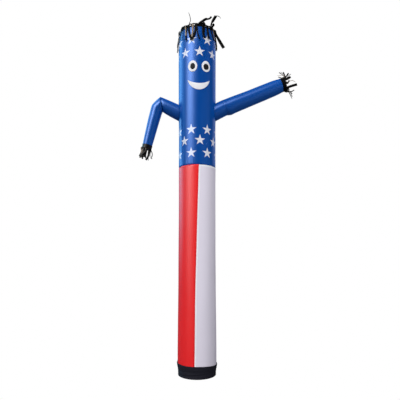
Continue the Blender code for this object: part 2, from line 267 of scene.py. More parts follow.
cloudPattern = {
    # scale, detail
    "dye": (3.2, 3.0),
    "dyeRough": 0.55,
    "creaseScale": 26.0,
    "creaseDetail": 4.0,
    "creaseBend": 0.6,
    "dust": (210.0, 2.0),
    "dustFrom": 0.62,
    "dustFull": 0.74,
}


def makeTone():
    # broad unevenness of the dye, small creases and a little dust
    takes = {"Place": None, "Crease Scale": cloudPattern["creaseScale"]}
    group, given, out = newGroup("cloth tone", takes, ("Tone", "Crease", "Dust"))
    place, scale, detail = given["Place"], given["Crease Scale"], cloudPattern["creaseDetail"]
    tone = noiseAt(group, place, *cloudPattern["dye"], Roughness=cloudPattern["dyeRough"])
    crease = noiseAt(group, place, scale, detail, Distortion=cloudPattern["creaseBend"])
    dust = noiseAt(group, place, *cloudPattern["dust"])
    group.links.new(tone, out["Tone"])
    group.links.new(crease, out["Crease"])
    group.links.new(ramp(group, dust, cloudPattern["dustFrom"], cloudPattern["dustFull"]), out["Dust"])
    return group


printRadius = 0.155  # the radius at which angles around the tube turn into metres of cloth
stars = {
    "size": 0.0452,
    "notch": 0.385,  # the notch radius over the point radius
    "softEdge": 0.0009,
    # height of the row, angle of one of its stars and the angle from star to star, in degrees
    "rows": (
        (1.976, -17.8, 50.4), (1.887, 9.0, 51.0), (1.785, -17.8, 50.4), (2.621, 7.6, 45.0),
        (2.727, -16.8, 49.0),
    ),
}


def makeStarRow():
    # one ring of five-pointed stars around the tube, point up
    takes = {"Cloth": None, "Row Height": 2.0, "First": 0.0, "Pitch": 0.14, "Size": stars["size"]}
    group, given, out = newGroup("printed star row", takes, ("Mask",))
    notch, softEdge = stars["notch"], stars["softEdge"]
    apart = split(group, given["Cloth"])
    half = calc(group, "DIVIDE", given["Pitch"], 2.0)
    sideways = calc(group, "SUBTRACT", apart[0], given["First"])
    x = calc(group, "WRAP", sideways, half, calc(group, "MULTIPLY", half, -1.0))
    y = calc(group, "SUBTRACT", apart[1], given["Row Height"])
    square = calc(group, "MULTIPLY_ADD", x, x, calc(group, "MULTIPLY", y, y))
    reach = calc(group, "SQRT", square)
    fold = calc(group, "PINGPONG", calc(group, "ARCTAN2", x, y), pi / 5)
    edge = Vector((notch * sin(pi / 5), 1 - notch * cos(pi / 5))).normalized()
    outward = calc(group, "MULTIPLY", reach, calc(group, "COSINE", fold))
    along = calc(group, "SUBTRACT", outward, given["Size"])
    beside = calc(group, "MULTIPLY", reach, calc(group, "SINE", fold))
    past = calc(group, "MULTIPLY_ADD", along, edge.x, calc(group, "MULTIPLY", beside, edge.y))
    group.links.new(ramp(group, past, softEdge, -softEdge), out["Mask"])
    return group


weaveGroup = makeWeave()
toneGroup = makeTone()
starGroup = makeStarRow()


def startMaterial(name):
    material = bpy.data.materials.new(name)
    material.use_nodes = True
    return material, material.node_tree, material.node_tree.nodes["Principled BSDF"]


def mixColour(tree, share, first, second):
    node = addNode(tree, "Mix", {"data_type": "RGBA"}, i0=share, i6=first, i7=second)
    return node.outputs[2]


def scaled(colour, factor):
    return tuple(channel * factor for channel in colour[:3]) + (1.0,)


def clothMaterial(name, look, withStars=False, hems=()):
    # coated nylon: weave and creases in the bump, tone and dust in the colour;
    # a hem is the pattern's axis and the span along it where the cloth is turned over
    material, tree, shader = startMaterial(name)
    place = addNode(tree, "TexCoord").outputs["Object"]
    cloth = addNode(tree, "UVMap", {"uv_map": "cloth"}).outputs["UV"]
    weave = placeGroup(tree, weaveGroup, Cloth=cloth, Thread=look["thread"], Rib=look["rib"])
    tone = placeGroup(tree, toneGroup, Place=place, Crease_Scale=look["creaseScale"])
    darker, lighter = (scaled(look["colour"], 1 + sign * look["unevenness"]) for sign in (-1, 1))
    colour = mixColour(tree, tone["Tone"], darker, lighter)
    if withStars:
        mask = 0.0
        for height, *angles in stars["rows"]:
            first, pitch = (radians(angle) * printRadius for angle in angles)
            size = {"First": first, "Pitch": pitch, "Size": stars["size"]}
            row = placeGroup(tree, starGroup, Cloth=cloth, Row_Height=height, **size)
            mask = calc(tree, "MAXIMUM", mask, row["Mask"])
        colour = mixColour(tree, mask, colour, look["print"])
    apart = split(tree, cloth)
    for axis, low, high in hems:
        past = calc(tree, "GREATER_THAN", apart[axis], low)
        before = calc(tree, "LESS_THAN", apart[axis], high)
        colour = mixColour(tree, calc(tree, "MULTIPLY", past, before), colour, look["hem"])
    ribbed = calc(tree, "MULTIPLY", weave["Rib Mask"], look["ribShade"])
    colour = mixColour(tree, ribbed, colour, scaled(look["colour"], look["ribDark"]))
    dusty = calc(tree, "MULTIPLY", tone["Dust"], look["dust"])
    colour = mixColour(tree, dusty, colour, look["dustColour"])
    smoothest = look["rough"] - look["roughVaries"] / 2
    woven = bumpFrom(tree, weave["Height"], look["weaveStrength"], look["weaveDepth"])
    feed(
        tree, shader, Base_Color=colour,
        Roughness=calc(tree, "MULTIPLY_ADD", tone["Crease"], look["roughVaries"], smoothest),
        Normal=bumpFrom(tree, tone["Crease"], look["creaseStrength"], look["creaseDepth"], Normal=woven),
        Specular_IOR_Level=look["gloss"], IOR=look["ior"], Specular_Tint=look["tint"],
        Sheen_Weight=look["sheen"], Sheen_Roughness=look["sheenRough"], Sheen_Tint=look["sheenTint"],
    )
    return material


nylon = {
    "thread": 0.0009,
    "rib": 0.0055,
    "creaseScale": 24.0,
    "unevenness": 0.06,
    "rough": 0.34,
    "roughVaries": 0.08,
    "weaveStrength": 0.2,
    "weaveDepth": 0.0002,
    "creaseStrength": 0.1,
    "creaseDepth": 0.002,
    "ribShade": 0.1,
    "ribDark": 0.6,
    "dust": 0.04,
    "dustColour": (0.62, 0.6, 0.56, 1.0),
    "gloss": 0.35,
    "ior": 1.5,
    "tint": (1.0, 1.0, 1.0, 1.0),
    "sheen": 0.0,
    "sheenRough": 0.35,
    "sheenTint": (1.0, 1.0, 1.0, 1.0),
}
blueLook = {
    **nylon,
    "colour": (0.0005, 0.061, 0.315),
    "print": (0.8, 0.79, 0.84, 1.0),
    "rough": 0.265,
    "roughVaries": 0.04,
    "weaveStrength": 0.1,
    "creaseStrength": 0.05,
    "dust": 0.006,
    "gloss": 0.9,
    "ior": 1.8,
    "tint": (0.25, 0.44, 0.97, 1.0),
    "sheen": 0.8,
    "sheenTint": (0.0, 0.28, 1.0, 1.0),
}
sleeveLook = {
    **blueLook,
    "rough": 0.28,
    "roughVaries": 0.02,
    "creaseStrength": 0.015,
    "gloss": 1.0,
    "ior": 1.9,
    "tint": (0.28, 0.46, 0.95, 1.0),
    "sheen": 0.5,
}
redLook = {
    **nylon,
    "colour": (0.84, 0.006, 0.008),
    "gloss": 0.75,
    "ior": 1.6,
    "tint": (1.0, 0.88, 0.9, 1.0),
}
whiteLook = {
    **nylon,
    "colour": (0.74, 0.7, 0.81),
    "gloss": 0.3,
    "unevenness": 0.03,
    "hem": (0.84, 0.86, 0.92, 1.0),
    "hemWidth": 0.012,
    "waistHem": 0.014,
}
patchLook = {**nylon, "rib": 0.0031, "rough": 0.5}
patchWhiteLook = {**patchLook, "colour": (0.78, 0.78, 0.82), "gloss": 0.3, "unevenness": 0.03}
patchBlackLook = {**patchLook, "colour": (0.012, 0.012, 0.014), "gloss": 0.12, "dust": 0.01}
collarLook = {
    **nylon,
    "colour": (0.015, 0.015, 0.022),
    "rough": 0.55,
    "gloss": 0.1,
    "dust": 0.01,
    "creaseStrength": 0.35,
    "creaseScale": 34.0,
}
threadLook = {**nylon, "rough": 0.6, "sheen": 0.05}
threadColours = {
    "blue": (0.001, 0.05, 0.27),
    "red": (0.52, 0.01, 0.014),
    "white": (0.72, 0.7, 0.74),
    "black": (0.012, 0.012, 0.014),
}

waistHeight = 1.688
halfRound = pi * printRadius
anyPlace = 9.0  # past every edge of the cloth patterns
whiteHems = (
    (0, -anyPlace, whiteLook["hemWidth"]), (0, halfRound - whiteLook["hemWidth"], anyPlace),
    (1, waistHeight - whiteLook["waistHem"], anyPlace),
)
bluePrinted = clothMaterial("blueNylonStars", blueLook, withStars=True)
bluePlain = clothMaterial("blueNylon", sleeveLook)
redPlain = clothMaterial("redNylon", redLook)
whitePlain = clothMaterial("whiteNylon", whiteLook, hems=whiteHems)
patchWhite = clothMaterial("patchWhite", patchWhiteLook)
patchBlack = clothMaterial("patchBlack", patchBlackLook)
collarBlack = clothMaterial("collarBlack", collarLook)
threads = {
    name: clothMaterial("thread" + name.capitalize(), {**threadLook, "colour": colour})
    for name, colour in threadColours.items()
}


paleRibbonUv = 5.0  # ribbons laid this far along in the pattern are painted paler: a painted glint standing in for the key light's highlight on the black film
tape = {
    "black": (0.003, 0.003, 0.0033, 1.0),
    # painted glint: a warm pale colour laid on some black ribbons, standing in for the key light's
    # highlight
    "pale": (0.34, 0.27, 0.21, 1.0),
    "paleShare": 0.8,
    "scuffs": (0.6, 0.72),
    "scuffShare": 0.06,
    "scuffScale": 60.0,
    "streaks": (900.0, 22.0, 1.0),  # across and along the ribbon
    "streakDepth": 0.0006,
    "streakStrength": 0.25,
    "rough": 0.26,
    "roughVaries": 0.25,
    "tint": (1.0, 0.97, 0.93, 1.0),
}


def ribbonMaterial(name, gloss, ior):
    # streamer tape: film with lengthwise streaks, paler where it is scuffed, and painted pale on the
    # ribbons laid far along, a painted glint
    material, tree, shader = startMaterial(name)
    cloth = addNode(tree, "UVMap", {"uv_map": "cloth"}).outputs["UV"]
    place = addNode(tree, "TexCoord").outputs["Object"]
    drawn = addNode(tree, "Mapping", Vector=cloth, Scale=tape["streaks"]).outputs[0]
    streaks = noiseAt(tree, drawn, scale=1.0, detail=3.0)
    tone = placeGroup(tree, toneGroup, Place=place, Crease_Scale=tape["scuffScale"])
    scuff = ramp(tree, tone["Crease"], *tape["scuffs"], 0.0, tape["scuffShare"])
    # painted glint: the ribbons laid far along in the pattern
    pale = calc(tree, "GREATER_THAN", split(tree, cloth)[0], paleRibbonUv / 2)
    share = calc(tree, "ADD", scuff, calc(tree, "MULTIPLY", pale, tape["paleShare"]), clamp=True)
    feed(
        tree, shader, Base_Color=mixColour(tree, share, tape["black"], tape["pale"]),
        Roughness=calc(tree, "MULTIPLY_ADD", streaks, tape["roughVaries"], tape["rough"]),
        Normal=bumpFrom(tree, streaks, tape["streakStrength"], tape["streakDepth"]),
        Specular_IOR_Level=gloss, IOR=ior, Specular_Tint=tape["tint"],
    )
    return material


ribbonFilm = ribbonMaterial("ribbonFilm", gloss=0.3, ior=1.2)
handFilm = {"right": ribbonFilm, "left": ribbonMaterial("ribbonFilmWorn", gloss=0.75, ior=1.36)}
print("materials ready")


def wobble(shape, angle, along, seed, share=1.0):
    # slow unevenness that closes on itself around a tube; shape is its depth, turns round and waves along
    depth, turns, waves = shape
    spot = Vector((cos(angle) * turns, sin(angle) * turns, along * waves + seed))
    return depth * share * noise.noise(spot)


# arms: (x of the upper point, its height, x of the lower point, its height, half depth)
arms = {
    "right": {
        "side": 1.0,
        "midSeam": 0.0,
        "pinch": 0.0,
        "shoulder": (
            (0.0705, 2.1998, 0.1295, 2.0783, 0.0675), (0.17, 2.2484, 0.225, 2.1279, 0.0668),
            (0.2035, 2.2645, 0.256, 2.144, 0.0662),
        ),
        "sleeve": (
            (0.2035, 2.2645, 0.256, 2.144, 0.0662), (0.224, 2.2727, 0.2786, 2.144, 0.0668),
            (0.2765, 2.2935, 0.33, 2.166, 0.0672), (0.3973, 2.339, 0.4488, 2.2174, 0.0664),
            (0.5703, 2.409, 0.6195, 2.2913, 0.0636), (0.65, 2.44, 0.694, 2.325, 0.06),
            (0.7072, 2.4548, 0.7441, 2.3528, 0.0544),
        ),
    },
    "left": {
        "side": -1.0,
        "midSeam": 1.0,
        "pinch": 0.007,
        "shoulder": (
            (-0.064, 2.187, -0.122, 2.074, 0.0625), (-0.178, 2.2402, -0.228, 2.1305, 0.06),
            (-0.31, 2.299, -0.2922, 2.169, 0.0575),
        ),
        "sleeve": (
            (-0.31, 2.299, -0.2922, 2.169, 0.0575), (-0.386, 2.22, -0.2975, 2.158, 0.0545),
            (-0.399, 2.172, -0.303, 2.14, 0.052), (-0.4163, 2.1, -0.318, 2.092, 0.0495),
            (-0.4487, 1.9452, -0.3625, 1.934, 0.0432), (-0.4608, 1.8801, -0.3834, 1.8604, 0.0392),
        ),
    },
}
armCloth = {
    "columns": 72,
    "rowLength": 0.006,
    "wall": 0.001,
    "slack": (0.0003, 1.3, 7.0),
    "gather": (0.0012, 4.5, 9.0),
    "gatherReach": 0.045,
    "seeds": {"shoulder": 20, "sleeve": 30},
    # depth and width
    "seam": (0.0014, 0.006),
    "underseam": (0.0014, 0.004),
    "radius": 0.06,
    "rootGap": 0.0003,
    "rootReach": 0.004,
    "pinchReach": 0.016,
    "pinchTurn": 0.5,
    "pinchBehind": 0.35,  # share of the pinch on the side away from it
    "mitred": 0.75,  # a shoulder's mean length over its middle one, as its ends are cut aslant
}
front = Vector((0.0, -1.0, 0.0))


def halves(row):
    # a section's centre and the vector from there to its upper point
    upperX, upperZ, lowerX, lowerZ = row[:4]
    upper, lower = Vector((upperX, 0.0, upperZ)), Vector((lowerX, 0.0, lowerZ))
    return (upper + lower) / 2, (upper - lower) / 2


def measured(table):
    # the table with the distance along the arm put before each row
    rows, length = [], 0.0
    for index, row in enumerate(table):
        if index:
            length += (halves(row)[0] - halves(table[index - 1])[0]).length
        rows.append((length, *row))
    return rows


for arm in arms.values():
    for part in ("shoulder", "sleeve"):
        rows = measured(arm[part])
        arm[part + "Length"] = rows[-1][0]
        arm[part] = curveThrough(rows)


def armSkin(section, turn, lift=0.0):
    # turn 0 is the arm's upper side, and a quarter turn its front
    centre, half = halves(section)
    depth = section[4]
    normal = half.normalized() * (cos(turn) / half.length) + front * (sin(turn) / depth)
    return centre + half * cos(turn) + front * (depth * sin(turn)) + normal.normalized() * lift


# the blue upper body
body = {
    "grid": (168, 132),
    "wall": 0.001,
    "profile": (
        (1.688, 0.1531), (1.9, 0.154), (2.06, 0.1549), (2.274, 0.1564), (2.45, 0.1576), (2.625, 0.1587),
        (2.72, 0.1588), (2.79, 0.156), (2.83, 0.1515), (2.848, 0.149),
    ),
    "slack": (0.0016, 1.7, 2.6),
    "gather": (0.0022, 11.0, 3.0),
    "gatherReach": 0.05,
    "waistDip": 0.005,
    # depth and width
    "waistSeam": (0.0012, 0.007),
    "backSeam": (0.0014, 0.005),
    "armLap": 0.002,
    # at the armholes, in armhole radii but for the seam's depth
    "armSeam": (0.0016, 0.06),
    "puckerReach": 0.38,
    "armCut": 0.96,
    "puckers": 7,
}
tubeRadius = curveThrough(body["profile"])
rimHeight = body["profile"][-1][0]


def radiusAt(height):
    return tubeRadius(height)[0]


def rootPlace(arm, turn, lift):
    # how far along the shoulder its skin comes out of the body
    near, far = 0.0, arm["shoulderLength"]
    for _ in range(30):
        middle = (near + far) / 2
        point = armSkin(arm["shoulder"](middle), turn, lift)
        if point.xy.length < radiusAt(point.z) + armCloth["rootGap"]:
            near = middle
        else:
            far = middle
    return far


for arm in arms.values():
    # 32 points round the armhole, the first on top and a quarter of the way round in front
    turns = [index * tau / 32 for index in range(32)]
    ring = [armSkin(arm["shoulder"](rootPlace(arm, turn, 0.0)), turn) for turn in turns]
    arm["rootCentre"] = sum(ring, Vector()) / len(ring)
    arm["rootUp"] = (ring[0] - ring[16]) / 2
    arm["rootFront"] = (ring[8] - ring[24]) / 2


def aroundArmhole(arm, point):
    # 1 on the armhole's edge, less inside it, and the turn around it
    away = point - arm["rootCentre"]
    upper = away.dot(arm["rootUp"]) / arm["rootUp"].length_squared
    forward = -away.y / arm["rootFront"].length
    return hypot(upper, forward), atan2(forward, upper)


def bodyFold(angle, height):
    fold = wobble(body["slack"], angle, height, 4.0)
    gathered = exp(-max(0.0, height - waistHeight) / body["gatherReach"])
    fold += wobble(body["gather"], angle, height, 9.0, gathered)
    fold -= dent(body["waistSeam"], height - waistHeight)
    fold -= dent(body["backSeam"], turnBetween(angle, pi) * printRadius)
    for arm in arms.values():
        if sin(angle) * arm["side"] > 0:
            reach, turn = aroundArmhole(arm, around(angle, radiusAt(height), height))
            near = exp(-max(0.0, reach - 1.0) / body["puckerReach"])
            fold += body["armSeam"][0] * near * sin(body["puckers"] * turn + 2 * sin(2 * turn))
            fold -= dent(body["armSeam"], reach - 1.0)
    return fold


def bodyPlace(across, up):
    angle = (across - 0.5) * tau
    low = waistHeight - body["waistDip"] * sin(angle) ** 2
    height = low + (rimHeight - low) * up
    return around(angle, radiusAt(height) + bodyFold(angle, height), height)


def cutArmholes(bm):
    # opens the body where the shoulders leave it, along the shoulder's own inner edge
    lap = body["armLap"]
    for arm in arms.values():
        doomed = []
        for face in bm.faces:
            middle = face.calc_center_median()
            if middle.x * arm["side"] > 0 and aroundArmhole(arm, middle)[0] < body["armCut"]:
                doomed.append(face)
        edge = {vert for face in doomed for vert in face.verts}
        bmesh.ops.delete(bm, geom=doomed, context="FACES")
        for vert in edge:
            if vert.is_valid and vert.is_boundary:
                turn = aroundArmhole(arm, vert.co)[1]
                vert.co = armSkin(arm["shoulder"](rootPlace(arm, turn, -lap)), turn, -lap)


def bodyPattern(across, up):
    return (across - 0.5) * tau * printRadius, waistHeight + (rimHeight - waistHeight) * up


layCloth(
    "upperBodyCloth", body["grid"], bodyPlace, bodyPattern,
    (bluePrinted, "blue_nylon", "upper_body", body["wall"]),
    flat=(tau * printRadius, rimHeight - waistHeight), cut=cutArmholes,
)
print("upper body")


# shoulders and sleeves
elbow = {
    "side": -1.0,  # only the left arm bends
    # place along the sleeve, depth and reach: the bent arm's creases and bulge, and the other's dip
    "creases": (0.02, 0.0045, 0.075),
    "bulge": (0.022, 0.0035, 0.02),
    "dip": (0.03, 0.001, 0.02),
    "spacing": 0.021,
    "slant": 0.004,
    "topShare": 0.1,
    "topSpacing": 0.047,
}


def elbowFold(arm, turn, place):
    # cross creases in the crook, deepest underneath and fading round the arm
    under = max(0.0, -cos(turn))
    creases, bulge, dip = (
        dent(shape, place - middle) for middle, *shape in (elbow["creases"], elbow["bulge"], elbow["dip"])
    )
    if arm["side"] != elbow["side"]:
        return -dip * under
    crease = cos(tau * (place + elbow["slant"] * sin(2 * turn)) / elbow["spacing"]) - 1
    onTop = elbow["topShare"] * max(0.0, cos(turn)) * sin(tau * place / elbow["topSpacing"])
    return bulge * max(0.0, sin(turn)) + creases * (under**1.5 * crease / 2 + onTop)


def armFold(arm, part, turn, place):
    # unevenness, what the seam at the start draws in, and the seam underneath
    seed = armCloth["seeds"][part] + arm["side"]
    drawn = 1.0 if part == "shoulder" else arm["midSeam"]
    fold = wobble(armCloth["slack"], turn, place, seed)
    fold += wobble(armCloth["gather"], turn, place, seed + 3, drawn * exp(-place / armCloth["gatherReach"]))
    fold -= drawn * dent(armCloth["seam"], place)
    return fold - dent(armCloth["underseam"], turnBetween(turn, pi) * armCloth["radius"])


def shoulderSkin(arm, turn, start, place, lift=0.0):
    # the shoulder's cloth at a place along it, where its root is at start
    left = arm["shoulderLength"] - place
    behind = armCloth["pinchBehind"]
    facing = behind + (1 - behind) * max(0.0, sin(turn - armCloth["pinchTurn"]))
    seam = arm["midSeam"] * dent(armCloth["seam"], left)
    seam += arm["pinch"] * exp(-left / armCloth["pinchReach"]) * facing
    ease = 1 - bell(place - start, armCloth["rootReach"])
    fold = ease * (armFold(arm, "shoulder", turn, place - start) - seam)
    return armSkin(arm["shoulder"](place), turn, fold + lift)


def sleeveSkin(arm, turn, place, lift=0.0):
    fold = armFold(arm, "sleeve", turn, place) + elbowFold(arm, turn, place)
    return armSkin(arm["sleeve"](place), turn, fold + lift)


def makeArm(name, arm):
    def shoulderPlace(across, up):
        turn = arm["side"] * (across - 0.5) * tau
        start = rootPlace(arm, turn, 0.0)
        return shoulderSkin(arm, turn, start, start + (arm["shoulderLength"] - start) * up)

    def sleevePlace(across, up):
        return sleeveSkin(arm, arm["side"] * (across - 0.5) * tau, arm["sleeveLength"] * up)

    parts = (("shoulder", shoulderPlace, armCloth["mitred"]), ("sleeve", sleevePlace, 1.0))
    for part, place, share in parts:
        length = arm[part + "Length"]
        middle = arm[part](length / 2)
        girth = pi * (halves(middle)[1].length + middle[4])
        rows = round(length / armCloth["rowLength"])
        layCloth(
            name + part.capitalize() + "Cloth", (armCloth["columns"], rows), place,
            lambda across, up: (across * girth, length * up),
            (bluePlain, "blue_nylon", name + "_" + part, armCloth["wall"]), flat=(girth, length * share),
        )


for name, arm in arms.items():
    makeArm(name, arm)
print("arms")


# the lower body: white and red halves that meet at a seam in front and one behind
lower = {
    "grid": (84, 190),
    "wall": 0.001,
    # height, radius, angle of the front seam in degrees
    "profile": (
        (0.066, 0.156, -7.1), (0.13, 0.1571, -6.7), (0.345, 0.156, -5.9), (0.6, 0.1548, -5.1),
        (0.8, 0.1537, -3.6), (1.0, 0.1528, -1.6), (1.335, 0.1527, 1.9), (1.6877, 0.1531, 5.8),
    ),
    "gap": 0.0003,
    "crowding": 0.35,
    "dipFrom": 1.5,
    "heldReach": 0.03,
    "slack": (0.0016, 1.7, 2.6),
    "gather": (0.0022, 11.0, 3.0),
    "gatherReach": 0.05,
    "footGather": 0.6,
    "footHeight": 0.1,
    "footReach": 0.03,
    # depth and width; the line is where the collar draws the cloth in
    "seam": (0.0018, 0.004),
    "pucker": (0.0007, 0.03),
    "puckerSpacing": 0.031,
    "puckerDrift": 3.0,
    "driftWaves": 9.0,
    "line": (0.0009, 0.004),
    "lineHeight": 0.128,
    "lineTilt": 0.004,
}
lowerTube = curveThrough(lower["profile"])
lowerFoot, lowerTop = lower["profile"][0][0], lower["profile"][-1][0]


def lowerFold(angle, height, seam):
    fold = wobble(lower["slack"], angle, height, 14.0)
    gathered = exp(-max(0.0, lowerTop - height) / lower["gatherReach"])
    gathered += exp(-abs(height - lower["footHeight"]) / lower["footReach"]) * lower["footGather"]
    fold += wobble(lower["gather"], angle, height, 19.0, gathered)
    fold -= dent(body["waistSeam"], lowerTop - height)
    fold -= dent(lower["line"], height - lower["lineHeight"] + lower["lineTilt"] * cos(angle))
    drift = lower["puckerDrift"] * noise.noise(Vector((0, 0, height * lower["driftWaves"])))
    puckered = sin(tau * height / lower["puckerSpacing"] + drift)
    for edge in (seam, seam + pi):
        away = turnBetween(angle, edge) * printRadius
        fold += dent(lower["pucker"], away) * puckered - dent(lower["seam"], away)
    return fold


def lowerSkin(angle, height, lift=0.0):
    # the foot is held to the collar, and the top dips at the sides
    radius, seam = lowerTube(height)
    ease = max(0.0, (height - lower["dipFrom"]) / (lowerTop - lower["dipFrom"]))
    sunk = height - body["waistDip"] * sin(angle) ** 2 * ease**2
    held = 1 - exp(-(height - lowerFoot) / lower["heldReach"])
    return around(angle, radius + held * lowerFold(angle, height, radians(seam)) + lift, sunk)


def crowded(across):
    # columns crowd towards the seams, where the cloth is drawn in
    return across - lower["crowding"] * sin(tau * across) / tau


def makeLower(name, half, material, slot, node):
    def place(across, up):
        height = lowerFoot + (lowerTop - lowerFoot) * up
        radius, seam = lowerTube(height)
        inset = lower["gap"] / 2 / radius
        angle = radians(seam) + half * pi + inset + crowded(across) * (pi - 2 * inset)
        return lowerSkin(angle, height)

    def pattern(across, up):
        return crowded(across) * halfRound, lowerFoot + (lowerTop - lowerFoot) * up + waistHeight - lowerTop

    layCloth(
        name, lower["grid"], place, pattern, (material, slot, node, lower["wall"]),
        flat=(halfRound, lowerTop - lowerFoot), closed=False,
    )


makeLower("lowerWhiteCloth", 0, whitePlain, "white_nylon", "lower_white")
makeLower("lowerRedCloth", 1, redPlain, "red_nylon", "lower_red")
print("lower body")


# the black collar at the foot, where the blower's air comes in
collar = {
    "grid": (168, 40),
    "wall": 0.001,
    "height": 0.1,
    "dip": 0.0135,
    # share of the height, radius
    "profile": (
        (0.0, 0.1528), (0.12, 0.1528), (0.3, 0.1542), (0.48, 0.1554), (0.66, 0.1588), (0.8, 0.1613),
        (0.93, 0.1622), (1.0, 0.1614),
    ),
    # height, depth, angle where it is deepest in degrees, spread in degrees
    "wrinkles": (
        (0.022, 0.0014, -20, 70), (0.036, 0.0022, 20, 55), (0.05, 0.002, -45, 45),
        (0.058, 0.0022, 60, 40), (0.041, 0.002, 140, 50), (0.055, 0.002, -150, 50),
        (0.026, 0.0018, 95, 40), (0.03, 0.0018, -100, 40),
    ),
    "wrinkleWidth": 0.0045,
    "wrinkleDrift": 0.01,
    "driftTurns": 1.4,
    "wrinkledTo": 0.8,  # share of the height
    # beside each wrinkle: share of its depth, distance above it, width
    "wrinkleRidge": (0.6, 0.008, 0.005),
    # the deep upright fold
    "foldAngle": 64.0,
    "foldDepth": 0.004,
    "foldWidth": 0.006,
    "foldSlant": 0.25,
    "foldMiddle": 0.04,
    "foldTo": 0.72,
    "foldRidge": (0.5, 0.01, 0.008),
    "slack": (0.0008, 5.0, 20.0),
    "hem": 0.0007,
    "hemEdges": (0.1, 0.91),  # shares of the height
    "flatRadius": 0.157,
}
collarRadius = curveThrough(collar["profile"])


def arch(up, top):
    # 0 at the foot, 1 half way to top, and 0 from there on
    return sin(pi * up / top) if up < top else 0.0


def collarPlace(across, up):
    angle = (across - 0.5) * tau
    height = up * (collar["height"] - collar["dip"] * max(0.0, sin(angle)) ** 2)
    lowHem, highHem = collar["hemEdges"]
    fold = 0.0
    share, above, width = collar["wrinkleRidge"]
    for level, depth, middle, spread in collar["wrinkles"]:
        off = degrees(turnBetween(angle, radians(middle)))
        past = height - level - collar["wrinkleDrift"] * sin(radians(off) * collar["driftTurns"])
        fold -= depth * bell(past, collar["wrinkleWidth"]) * bell(off, spread)
        fold += share * depth * bell(past - above, width) * bell(off, spread)
    share, above, width = collar["foldRidge"]
    deep = collar["foldDepth"] * arch(up, collar["foldTo"])
    off = turnBetween(angle, radians(collar["foldAngle"])) * printRadius
    off += collar["foldSlant"] * (height - collar["foldMiddle"])
    fold -= deep * bell(off, collar["foldWidth"])
    fold += share * deep * bell(off - above, width)
    fold *= sqrt(arch(up, collar["wrinkledTo"]))
    fold += wobble(collar["slack"], angle, height, 3.0) * min(1.0, up / lowHem)
    hem = 0.0 if lowHem <= up <= highHem else collar["hem"]
    return around(angle, collarRadius(up)[0] + fold + hem, height)


layCloth(
    "baseCollar", collar["grid"], collarPlace,
    lambda across, up: ((across - 0.5) * tau * printRadius, collar["height"] * up),
    (collarBlack, "black_cuff", "base_cuff", collar["wall"]),
    flat=(tau * collar["flatRadius"], collar["height"]),
)
print("collar")


# the face: sewn patches
face = {
    "gap": 0.0005,
    "wall": 0.0012,
    "overEye": 0.002,
    "puff": 0.0006,
    "pucker": (0.0003, 0.12),
    "puckerAt": 0.9,  # share of the way out
    "puckers": 15,
    "eyeColumns": 22,
    "pupilColumns": 16,
    # name, angle in degrees, height, half width, half height
    "eyes": (("left", -13.4, 2.4985, 0.0385, 0.0472), ("right", 27.7, 2.5005, 0.0384, 0.0458)),
    "pupils": (("left", -12.9, 2.4973, 0.0203, 0.0262), ("right", 27.6, 2.497, 0.0232, 0.0258)),
}
mouth = {
    "angle": 5.5,
    "corner": 2.3884,
    "halfWidth": 0.0945,
    "lipSag": 0.033,
    "jawSag": 0.086,
    "fullness": 0.7,
    "grid": (56, 14),
    "patternHeight": 0.05,
    "area": 0.0066,
}


def onHead(angle, sideways, height, lift):
    radius = radiusAt(height)
    angle = radians(angle) + sideways / radius
    return around(angle, radius + lift + bodyFold(angle, height), height)


def makeOval(name, oval, lift, columns, finish):
    angle, height, halfWidth, halfHeight = oval

    def place(across, up):
        x, y = 2 * across - 1, 2 * up - 1
        # the square grid drawn in to a round one
        u, v = x * sqrt(1 - y * y / 2), y * sqrt(1 - x * x / 2)
        reach = hypot(u, v)
        puff = face["puff"] * (1 - reach**6)
        puff += sin(face["puckers"] * atan2(v, u)) * dent(face["pucker"], reach - face["puckerAt"])
        return onHead(angle, u * halfWidth, height + v * halfHeight, lift + face["wall"] + puff)

    wide, high = 2 * halfWidth, 2 * halfHeight
    layCloth(
        name, (columns, columns), place, lambda across, up: (across * wide, up * high), finish,
        flat=(wide, high), closed=False, area=pi * halfWidth * halfHeight,
    )


def mouthOutline(across):
    # sideways place, bottom and top height
    place = -cos(pi * across)
    full = max(0.0, 1.0 - place * place)
    top = mouth["corner"] - mouth["lipSag"] * full
    return mouth["halfWidth"] * place, mouth["corner"] - mouth["jawSag"] * full ** mouth["fullness"], top


def mouthPlace(across, up):
    sideways, bottom, top = mouthOutline(across)
    puff = face["puff"] * (1 - (2 * up - 1) ** 6) * sin(pi * across)
    return onHead(mouth["angle"], sideways, bottom + (top - bottom) * up, face["gap"] + face["wall"] + puff)


for name, *oval in face["eyes"]:
    finish = (patchWhite, "white_patch", "eye_" + name, face["wall"])
    makeOval(name + "EyePatch", oval, face["gap"], face["eyeColumns"], finish)
for name, *oval in face["pupils"]:
    finish = (patchBlack, "black_patch", "pupil_" + name, face["wall"])
    makeOval(name + "PupilPatch", oval, face["overEye"], face["pupilColumns"], finish)
layCloth(
    "mouthPatch", mouth["grid"], mouthPlace,
    lambda across, up: (mouthOutline(across)[0], mouth["patternHeight"] * up),
    (patchWhite, "white_patch", "mouth", face["wall"]),
    flat=(2 * mouth["halfWidth"], mouth["jawSag"]), area=mouth["area"],
)
print("face")


# ribbons
ribbon = {
    "wall": 0.0007,
    "step": 0.006,
    "cup": 0.12,
    "openBy": 0.6,  # share of the length by which a narrow root has its full width
    "squareUp": 1.5,  # how soon a ribbon with no side of its own turns flat to the front
}


def lengthsAlong(points):
    lengths = [0.0]
    for a, b in zip(points, points[1:]):
        lengths.append(lengths[-1] + (b - a).length)
    return lengths


